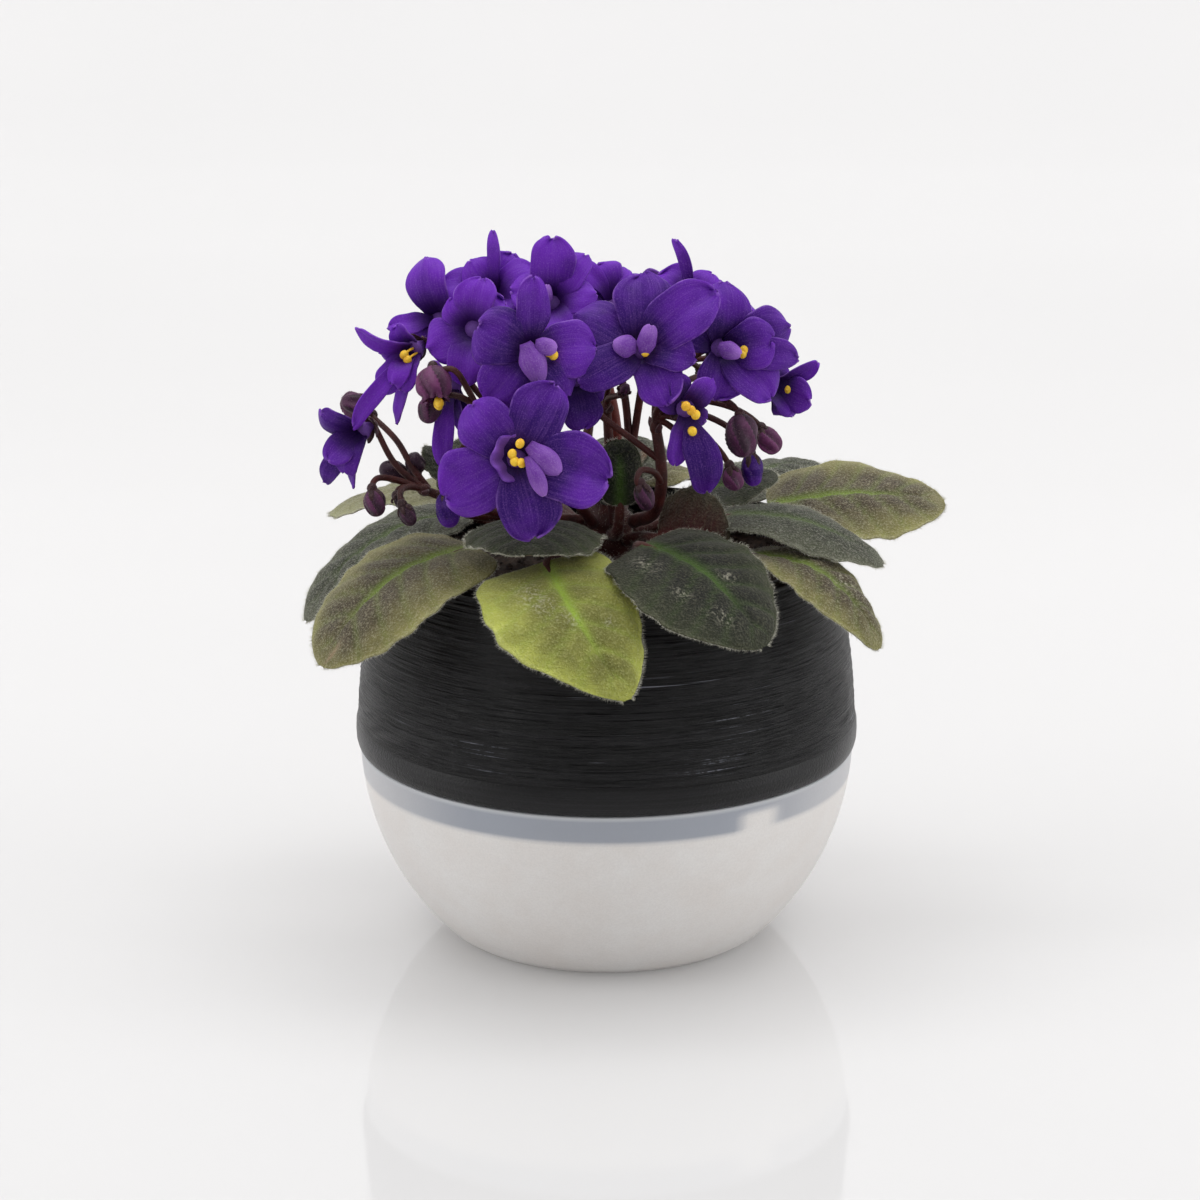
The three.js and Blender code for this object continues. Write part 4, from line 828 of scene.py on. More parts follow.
def planter_sleeve():
    """The sleeve's profile turned about the Z axis, with its wall at radius - depth ridges(angle, z). Its
    masks are where it is plain, and the worn zones."""
    profile, grooved = sleeve_profile()
    angle = np.linspace(0, 2 * np.pi, POT_SEGMENTS, endpoint=False)[:, None]
    z = np.broadcast_to(profile[:, 1], (POT_SEGMENTS, len(profile)))
    ends = smooth(z, BAND_TOP_Z + 0.2, BAND_TOP_Z + 2) * smooth(-z, -RIM_Z + 1.2, -RIM_Z + 3)
    r = profile[:, 0] - RIDGE_DEPTH * grooved * ends * ridges(angle, z)
    rings = round_axis(r, angle, z)
    plain = np.broadcast_to(1 - grooved, r.shape)
    worn = np.zeros_like(r)
    for azimuth, height, wide, tall in WORN_ZONES:
        turn = (np.degrees(angle) - azimuth + 180) % 360 - 180
        worn = np.maximum(worn, np.exp(-((turn / wide) ** 2) - ((z - height) / tall) ** 2))
    masks = np.stack([plain, worn, np.zeros_like(r)], -1)
    index = np.arange(r.size).reshape(r.shape)
    wrapped = np.vstack([index, index[:1]])
    wrapped = np.hstack([wrapped, wrapped[:, :1]])
    return shape(rings, grid_triangles(wrapped), masks)


def cut_by(name, body, cutters):
    """The body with the cutters taken out of it."""
    plain = [add_loose(f"{name} body", body)] + [add_loose(f"{name} cutter", cutter) for cutter in cutters]
    for cutter in plain[1:]:
        modifier = plain[0].modifiers.new("cut", "BOOLEAN")
        modifier.operation = "DIFFERENCE"
        modifier.solver = "EXACT"
        modifier.object = cutter
    graph = bpy.context.evaluated_depsgraph_get()
    mesh = bpy.data.meshes.new_from_object(plain[0].evaluated_get(graph))
    mesh.calc_loop_triangles()
    points = np.empty(len(mesh.vertices) * 3)
    mesh.vertices.foreach_get("co", points)
    triangles = np.empty(len(mesh.loop_triangles) * 3, np.int32)
    mesh.loop_triangles.foreach_get("vertices", triangles)
    for loose in plain:
        bpy.data.objects.remove(loose)
    points = points.reshape(-1, 3) / MM
    return shape(points, triangles.reshape(-1, 3), np.ones((len(points), 1)))


def add_loose(name, made):
    mesh = bpy.data.meshes.new(name)
    mesh.from_pydata((made["points"] * MM).tolist(), [], made["triangles"].tolist())
    mesh.update()
    loose = bpy.data.objects.new(name, mesh)
    bpy.context.scene.collection.objects.link(loose)
    return loose


BOX_FACES = np.array([
    [0, 1, 3], [0, 3, 2], [4, 6, 7], [4, 7, 5], [0, 4, 5], [0, 5, 1],
    [2, 3, 7], [2, 7, 6], [0, 2, 6], [0, 6, 4], [1, 5, 7], [1, 7, 3],
])


def drain_cutter(number):
    """An upright rod through the floor, one of a ring."""
    angle = 2 * math.pi * (number + 0.5) / DRAIN_HOLES
    x = DRAIN_RING_RADIUS * math.cos(angle)
    y = DRAIN_RING_RADIUS * math.sin(angle)
    return tube([[x, y, 44.0], [x, y, 50.0]], DRAIN_RADIUS, 20)


def notch_cutter():
    """A block across the skirt's foot."""
    away = towards(NOTCH_AZIMUTH)
    across = np.array([-away[1], away[0], 0])
    corners = [
        SKIRT_RADIUS * away + x * away + y * across + np.array([0, 0, SKIRT_Z + z])
        for x in (-4, 4) for y in (-5, 5) for z in (-5, 5)
    ]
    return shape(corners, BOX_FACES)


def planter_insert():
    """The planter's floor and skirt, with drain holes and a notch in the skirt."""
    profile = [
        [20, FLOOR_Z - FLOOR_THICKNESS],
        [SKIRT_RADIUS - SKIRT_WALL, FLOOR_Z - FLOOR_THICKNESS],
        [SKIRT_RADIUS - SKIRT_WALL, SKIRT_Z + 0.3],
        [SKIRT_RADIUS - SKIRT_WALL + 0.3, SKIRT_Z],
        [SKIRT_RADIUS - 0.4, SKIRT_Z],
        [SKIRT_RADIUS, SKIRT_Z + 0.4],
        [SKIRT_RADIUS, BORDER_Z + 0.6],
        [SKIRT_RADIUS - SKIRT_WALL, BORDER_Z + 0.6],
        [SKIRT_RADIUS - SKIRT_WALL, FLOOR_Z],
        [20, FLOOR_Z],
    ]
    cutters = [drain_cutter(number) for number in range(DRAIN_HOLES)]
    return cut_by("insert", turned(profile, 128), cutters + [notch_cutter()])


def bowl_radius(z):
    """Half an upright ellipse, a little deeper than a ball: R sqrt(1 - ((centre - z) / depth)^2)."""
    return BOWL_RADIUS * np.sqrt(1 - ((BOWL_CENTRE_Z - z) / BOWL_DEPTH) ** 2)


def bowl():
    """A thin open bowl: foot with a shallow ring under it, outer wall, rounded rim, inner wall, flat bottom.
    Its masks are where the dark skirt behind the milky wall is painted on as shade, where a highlight is
    painted along the rim, and how far round to the side a place is."""
    rim_z = BORDER_Z - SEAT_GAP
    outer_z = np.linspace(math.sqrt(2.4), math.sqrt(rim_z - 0.5), 90) ** 2
    inner_z = np.linspace(math.sqrt(rim_z - 0.6), math.sqrt(7.8), 30) ** 2
    outer = np.stack([bowl_radius(outer_z), outer_z], -1)
    inner = np.stack([bowl_radius(inner_z) - BOWL_WALL, inner_z], -1)
    foot = [
        [15, 0.6],
        [31, 0.6],
        [32.5, 0.05],
        [FOOT_RADIUS - 0.6, 0.0],
        [FOOT_RADIUS + 0.6, 0.1],
        [FOOT_RADIUS + 1.8, 0.6],
    ]
    top = bowl_radius(rim_z)
    rim = [
        [top - 0.1, rim_z - 0.15],
        [top - 0.45, rim_z],
        [top - BOWL_WALL + 0.45, rim_z],
        [top - BOWL_WALL + 0.1, rim_z - 0.15],
    ]
    floor = [[FOOT_RADIUS + 1.5, 4.6], [FOOT_RADIUS - 1, 3.2], [FOOT_RADIUS - 4, 3.0], [15, 3.0]]
    made = turned(np.concatenate([foot, outer, rim, inner, floor]), POT_SEGMENTS)
    x, y, z = made["points"].T
    from_notch = np.abs((np.degrees(np.arctan2(y, x)) - NOTCH_AZIMUTH + 180) % 360 - 180)
    notch = (1 - smooth(from_notch, 2.5, 7.5)) * (1 - smooth(z, NOTCH_TOP_Z - 1.2, NOTCH_TOP_Z + 1))
    # painted shade of the dark skirt behind the wall, left out at the notch
    made["masks"][:, 0] = smooth(z, SKIRT_Z - 0.2, SKIRT_Z + 1.3) * (1 - notch)
    # painted highlight along the top of the rim
    made["masks"][:, 1] = smooth(z, rim_z - 1.3, rim_z - 0.7)
    # how far to the left or right a place is, where the painted shade thins
    made["masks"][:, 2] = smooth(np.abs(x) / BOWL_RADIUS, 0.5, 0.95)
    return made


def broad_lumps(x, y):
    return 0.9 * np.sin(0.31 * x + 1.3) * np.cos(0.27 * y - 0.6)


def soil_body():
    """A lumpy disc with a hole left round the crown: Z = top + lumps(x, y), lowered at the rim."""
    rings, segments = 60, 160
    r = np.linspace(SOIL_RADIUS, CROWN_RADIUS + 0.9, rings)
    angle = np.linspace(0, 2 * np.pi, segments, endpoint=False)[:, None]
    x = r * np.cos(angle)
    y = r * np.sin(angle)
    lumps = broad_lumps(x, y)
    lumps += 0.45 * np.sin(1.1 * x + 2 * np.sin(0.6 * y)) * np.sin(0.9 * y + 1.4 * np.sin(0.8 * x))
    lumps += 0.3 * np.sin(2.3 * x + 1.7 * y) * np.sin(2.6 * y - 1.2 * x)
    z = SOIL_TOP_Z + lumps - 1.2 * smooth(r, SOIL_RADIUS - 5, SOIL_RADIUS)
    top = np.stack([x, y, z], -1)
    side_z = np.array([FLOOR_Z + SEAT_GAP, FLOOR_Z + SEAT_GAP, 58.0, 76.0])
    side = round_axis(np.array([30.0, 57.6, 60.6, 60.4]), angle, side_z)
    hole = round_axis(np.array([CROWN_RADIUS + 0.9, 3.0]), angle, np.array([88.0, 84.0]))
    body = np.concatenate([side, top, hole], axis=1)
    return closed_rings(body, np.zeros((segments, body.shape[1], 3)))


def soil_crumbs():
    """Loose uneven octahedra that lie on the soil's broad lumps."""
    azimuth = random.uniform(0, 2 * np.pi, CRUMB_COUNT)
    radius = np.sqrt(random.uniform(0.05, 1, CRUMB_COUNT)) * (SOIL_RADIUS - 2)
    size = random.uniform(0.3, 1.1, CRUMB_COUNT)
    x = radius * np.cos(azimuth)
    y = radius * np.sin(azimuth)
    place = np.stack([x, y, SOIL_TOP_Z + broad_lumps(x, y) + 0.25 * size], -1)
    corners = np.concatenate([np.eye(3), -np.eye(3)])
    jitter = random.uniform(0.6, 1.25, (CRUMB_COUNT, 6, 1))
    points = place[:, None] + size[:, None, None] * corners * jitter
    faces = np.array([[0, 1, 2], [1, 3, 2], [3, 4, 2], [4, 0, 2], [1, 0, 5], [3, 1, 5], [4, 3, 5], [0, 4, 5]])
    starts = 6 * np.arange(CRUMB_COUNT)
    return shape(points, (faces[None] + starts[:, None, None]).reshape(-1, 3))


def soil():
    return joined([soil_body(), soil_crumbs()])


# leaves

LOW_TIER_Z = 100.5
DROP = 2

# which of its piece's materials a shape has, after the blade's and the long hairs'
PETIOLE = 1
SHORT_FUR = 1

# Each leaf is given by the ends of its midrib (base and tip), its half width, how high the midrib arches,
# and the azimuth of its root on the crown. Its tint is its colour, and its look another one in place of that.
# Some leaves roll about the midrib by so many degrees, drop their sides by another height than DROP, or have
# their root at another height than LOW_TIER_Z. Some have a sideways bend, a skew that widens one side, the
# two powers of a rounder outline, more painted shade near the base (shade), where the edge's colour gives
# way to the darker centre's, and patches of dust or dry tissue, each by its place along and across, and
# its size.
LEAVES = [
    {"name": "front_left", "tint": "olive", "base": [-33, -25, 109.5], "tip": [-71, -47, 85], "half": 22,
     "arch": 8, "roll": -2, "drop": 3, "root": 212, "dry": [(0.93, 0.25, 0.05)]},
    {"name": "left", "tint": "grey", "base": [-36, 4.4, 110.4], "tip": [-77, -14, 87], "half": 14.4,
     "arch": 8, "root": 182},
    {"name": "front", "tint": "lime", "base": [-15, -47, 112], "tip": [5, -78, 86], "half": 19.5,
     "arch": 9, "roll": 10, "bend": -5, "root": 262, "skew": -0.08, "round": (0.44, 0.7), "shade": 1,
     "dust": [(0.3, -0.42, 0.09), (0.42, -0.3, 0.08), (0.52, -0.1, 0.06), (0.62, 0.4, 0.04)]},
    {"name": "front_right", "tint": "dark", "base": [9, -42, 115], "tip": [38.5, -65, 95.5], "half": 20,
     "arch": 6, "roll": 10, "root": 291, "skew": -0.1, "round": (0.5, 0.64),
     "dust": [(0.2, -0.5, 0.08), (0.55, 0.2, 0.05), (0.75, -0.4, 0.07), (0.5, -0.5, 0.05)]},
    {"name": "right_low", "tint": "olive", "base": [35, -26, 108], "tip": [68, -42, 88], "half": 13,
     "arch": 8, "root": 318, "dust": [(0.6, 0.3, 0.12)]},
    {"name": "right_grey", "tint": "grey", "base": [29, -17, 115.6], "tip": [70, -22, 104.2], "half": 12,
     "arch": 5, "roll": 8, "root": 342, "root_z": 103},
    {"name": "right_far", "tint": "olive", "base": [42, 10, 111], "tip": [88, 14, 111], "half": 20,
     "arch": 3, "roll": 14, "root": 12},
    {"name": "back_right", "tint": "grey", "base": [28, 32, 108], "tip": [56, 56, 111], "half": 16,
     "arch": 2, "root": 48},
    {"name": "back", "tint": "olive", "base": [6, 44, 108], "tip": [14, 84, 98], "half": 18,
     "arch": 5, "root": 80},
    {"name": "back_middle_left", "tint": "dark", "base": [-20, 38, 109], "tip": [-38, 70, 102], "half": 16,
     "arch": 5, "root": 115},
    {"name": "back_left", "tint": "grey", "base": [-35, 22, 107], "tip": [-69, 42, 103], "half": 17,
     "arch": 5, "root": 148, "round": (0.6, 0.3), "look": "pale"},
    {"name": "over_front", "tint": "dark", "base": [-17, -26, 116], "tip": [-19, -62, 118], "half": 17,
     "arch": 3, "drop": 3.4, "root": 245, "root_z": 105},
    {"name": "over_right", "tint": "dark", "base": [21, 2, 114], "tip": [44, 1, 121], "half": 12,
     "arch": 2, "roll": 8, "drop": 1, "root": 5, "root_z": 106},
    {"name": "heart_front", "tint": "dark", "base": [13, -19, 110.5], "tip": [31, -25, 112.5], "half": 8,
     "arch": 1.5, "roll": 62, "drop": 0.6, "root": 312, "root_z": 106, "skew": 0.62, "look": "wine"},
    {"name": "heart_upright", "tint": "dark", "base": [3.4, -16, 118], "tip": [3.2, -12.5, 134.4],
     "half": 5.8, "arch": 1, "drop": 1, "root": 282, "root_z": 108, "round": (0.5, 0.42)},
    {"name": "over_left", "tint": "dark", "base": [-40, -7, 117], "tip": [-46.6, -5, 130.6], "half": 6,
     "arch": 1.5, "drop": 1, "root": 184, "root_z": 106, "round": (0.5, 0.45)},
    {"name": "over_back", "tint": "grey", "base": [2, 26, 114], "tip": [6, 54, 118], "half": 13,
     "arch": 3, "root": 95, "root_z": 105},
    {"name": "over_back_left", "tint": "dark", "base": [-25, 16, 114], "tip": [-38, 30, 124], "half": 12,
     "arch": 3, "root": 140, "root_z": 106},
]


def blade_outline(leaf, s):
    """Relative half width along a blade: s^a (1 - s)^b over its own maximum."""
    a, b = leaf.get("round", (0.5, 0.58))
    widest = a / (a + b)
    value = s**a * (1 - s) ** b / (widest**a * (1 - widest) ** b)
    return np.maximum(value, 0.06)


def blade_frame(leaf):
    """The midrib's ends, and the directions along it, up out of the blade and across it."""
    base, tip = np.array(leaf["base"], float), np.array(leaf["tip"], float)
    axis = unit(tip - base)
    normal = turned_about(unit(UP - axis * (UP @ axis)), axis, leaf.get("roll", 0))
    return base, tip, axis, normal, np.cross(normal, axis)


def midrib_point(leaf, s):
    """base + (tip - base) s + normal arch 4s(1 - s) + side bend 4s(1 - s)."""
    base, tip, _, normal, side = blade_frame(leaf)
    s = np.asarray(s, float)[..., None]
    bow = 4 * s * (1 - s)
    return base + (tip - base) * s + normal * leaf["arch"] * bow + side * leaf.get("bend", 0) * bow


def spots(places, s, t):
    """Soft round patches, each given by its place along and across a blade and its size."""
    total = np.zeros_like(s)
    for at_s, at_t, size in places:
        total += np.exp(-(((s - at_s) / size) ** 2) - ((t - at_t) / (1.6 * size)) ** 2)
    return np.clip(total, 0, 1)


def side_veins(s, t):
    """The side veins' lines, which run forward from the midrib to the edge, and the swellings between."""
    reach = np.abs(t)
    start = s - 0.27 * reach**0.85 * (1 - 0.35 * s)
    turn = start * 6.5 + 0.4
    from_vein = np.abs(turn - np.round(turn))
    vein = np.exp(-((from_vein / 0.12) ** 2)) * smooth(start, -0.02, 0.08)
    vein = vein * (1 - 0.55 * reach) * smooth(reach, 0.0, 0.1)
    vein = vein * (1 - smooth(s, 0.86, 1))
    swell = (0.5 - 0.5 * np.cos(2 * np.pi * turn)) * np.sin(np.pi * reach**0.8)
    swell = swell * smooth(s, 0.02, 0.2) * (1 - smooth(s, 0.8, 1))
    return vein, swell


def blade_masks(leaf, s, t, x, vein):
    """Midrib, side veins, underside, edge, dust and dry spots. Near the base the edge gives way to painted
    shade.
    """
    rib = np.exp(-((x / (1.7 - 1.1 * s)) ** 2)) * (1 - smooth(s, 0.5, 0.9)) * 0.9
    edge = np.clip(np.maximum(t * t, (2 * s - 1) ** 4 * 0.8) * 1.1 - 0.12, 0, 1)
    # painted shade near the base: the edge's colour gives way there to the darker centre's, by the leaf's
    # shade
    edge = edge * (1 - leaf.get("shade", 0.4) * (1 - smooth(s, 0.0, 0.42)))
    dust = spots(leaf.get("dust", []), s, t)
    dry = np.clip(spots(leaf.get("dry", []), s, t) * 1.4, 0, 1)
    return np.stack([rib, vein, np.zeros_like(s), edge, dust, dry], -1)


def blade(leaf):
    """centre(s) + side t w(s) + normal h(s, t): t from -1 to 1 across, w the outline with small scallops,
    h the waved and dropped edge, the sunk midrib and side veins, the swellings between them and low lumps.
    Gives the blade, and the points and normals of its rim."""
    small = leaf["half"] < SMALL_LEAF
    relief = 0.5 if small else 1.0
    rows, columns = (34, 23) if small else (54, 35)
    spread = np.linspace(-1, 1, columns) * np.pi / 2 * 0.9
    u, t = grids(np.linspace(0, 1, rows), np.sin(spread) / math.sin(np.pi / 2 * 0.9))
    s = 0.5 - 0.5 * np.cos(np.pi * u)
    _, _, axis, normal, side = blade_frame(leaf)
    outline = blade_outline(leaf, s)
    phase = random.uniform(0, 6, 6)
    scallops = 0.016 * np.sin(2 * np.pi * 10 * u + phase[0])
    scallops = scallops + 0.014 * np.sin(2 * np.pi * 4.3 * u + phase[1] + t)
    width = leaf["half"] * outline * (1 + scallops * t**4)
    x = t * width * (1 + leaf.get("skew", 0) * t)
    wave = 0.9 * np.sin(14.7 * u + np.where(t > 0, 1.0, 2.6)) * t * t
    lift = (wave - leaf.get("drop", DROP) * t * t) * outline
    frill = 0.3 * np.sin(2 * np.pi * 9 * u + phase[2]) * np.abs(t) ** 5 * outline
    vein, swell = side_veins(s, t)
    rib = np.exp(-((x / (1.25 - 0.75 * s)) ** 2)) * (1 - smooth(s, 0.78, 0.98))
    lumps = 0.35 * np.sin(0.33 * x + 9 * s + phase[3]) * np.sin(7 * s + phase[4]) * outline
    height = lift + frill + lumps * relief + relief * (0.55 * swell - 0.36 * vein)
    height = height - 0.75 * relief * rib * smooth(s, 0, 0.1)
    middle = midrib_point(leaf, s) + side * x[..., None] + normal * height[..., None]
    lobes = leaf["half"] * 0.2 * np.sin(np.pi * np.clip(s / 0.34, 0, 1)) * t * t
    middle = middle - axis * lobes[..., None]
    taper = np.clip((1 - np.maximum(np.abs(t), np.abs(2 * s - 1) ** 2)) * 4, 0.45, 1)
    masks = blade_masks(leaf, s, t, x, vein * relief)
    made = closed_sheet(middle, LEAF_THICKNESS * taper[..., None], masks)
    return made, middle[:, [0, -1]], surface_normal(middle)[:, [0, -1]]


def petiole(leaf):
    """The leaf stalk from the crown, which runs on as a ridge under the midrib and thins out."""
    base, _, _, normal, _ = blade_frame(leaf)
    out = towards(leaf["root"])
    root = out * (CROWN_RADIUS + 0.4) + UP * leaf.get("root_z", LOW_TIER_Z)
    reach = np.linalg.norm(root - base)
    under = np.array([0.75, 1.75, 1.5, 0.95])[:, None]
    along = midrib_point(leaf, [0.03, 0.25, 0.5, 0.8]) - normal * under
    line = line_through([root, root + (out + 0.35 * UP) * 0.35 * reach, *along], 40)
    travelled = np.concatenate([[0], np.cumsum(np.linalg.norm(np.diff(line, axis=0), axis=1))])
    share = travelled / travelled[-1]
    blade_share = reach / travelled[-1]
    stalk_part = PETIOLE_RADIUS - 0.45 * share / blade_share
    ridge_part = (PETIOLE_RADIUS - 0.45) * (1 - 0.8 * (share - blade_share) / (1 - blade_share))
    radius = np.where(share < blade_share, stalk_part, ridge_part)
    tone = smooth(share, 0.1, 0.9) * 0.5
    masks = np.stack([share, tone, np.zeros_like(share)], -1)
    return tube(line, radius, 10, masks, PETIOLE)


def mostly_above(masks):
    """Few hairs on the underside, which mask 2 marks."""
    return np.where(masks[:, 2] > 0.4, 0.12, 1.0)


def rim_hairs(leaf, rim, rim_normal):
    """Hairs between the rim's points that lean out of the blade and, past its base, to its tip."""
    base, tip, axis, _, side = blade_frame(leaf)
    rows = rim.shape[0]
    count = int(2 * np.linalg.norm(tip - base) * RIM_HAIRS_PER_MM)
    where = random.uniform(0, rows - 1.001, count)
    low = where.astype(int)
    part = (where - low)[:, None]
    border = random.integers(0, 2, count)
    roots = rim[low, border] * (1 - part) + rim[low + 1, border] * part
    away = np.where(border[:, None] == 1, 1, -1) * side
    share = where / (rows - 1)
    forward = (0.25 + 0.5 * share**3)[:, None]
    taper = smooth(share, 0.0, 0.15)[:, None]
    directions = away * 0.9 + axis * forward * taper + 0.25 * rim_normal[low, border]
    directions = directions + 0.4 * random.normal(size=directions.shape)
    return spikes(roots, directions, HAIR_LENGTH * random.uniform(0.6, 1.25, count), HAIR_RADIUS)


def leaf_hairs(made, stem, rim, rim_normal, leaf):
    """Fur over the upper face that leans to the tip, a denser fringe round the rim, and hairs on the
    petiole."""
    axis = blade_frame(leaf)[2]
    count = int(area_of(made) / 2 * LEAF_HAIRS_PER_MM2)
    upper = fuzz(made, count, FUR_LENGTH, 0.7 * axis, weight=mostly_above, radius=FUR_RADIUS)
    upper["kind"][:] = SHORT_FUR
    fringe = rim_hairs(leaf, rim, rim_normal)
    stem_hairs = fuzz(stem, PETIOLE_HAIR_COUNT, PETIOLE_HAIR_LENGTH, spread=0.5, radius=PETIOLE_HAIR_RADIUS)
    return joined([upper, fringe, stem_hairs])
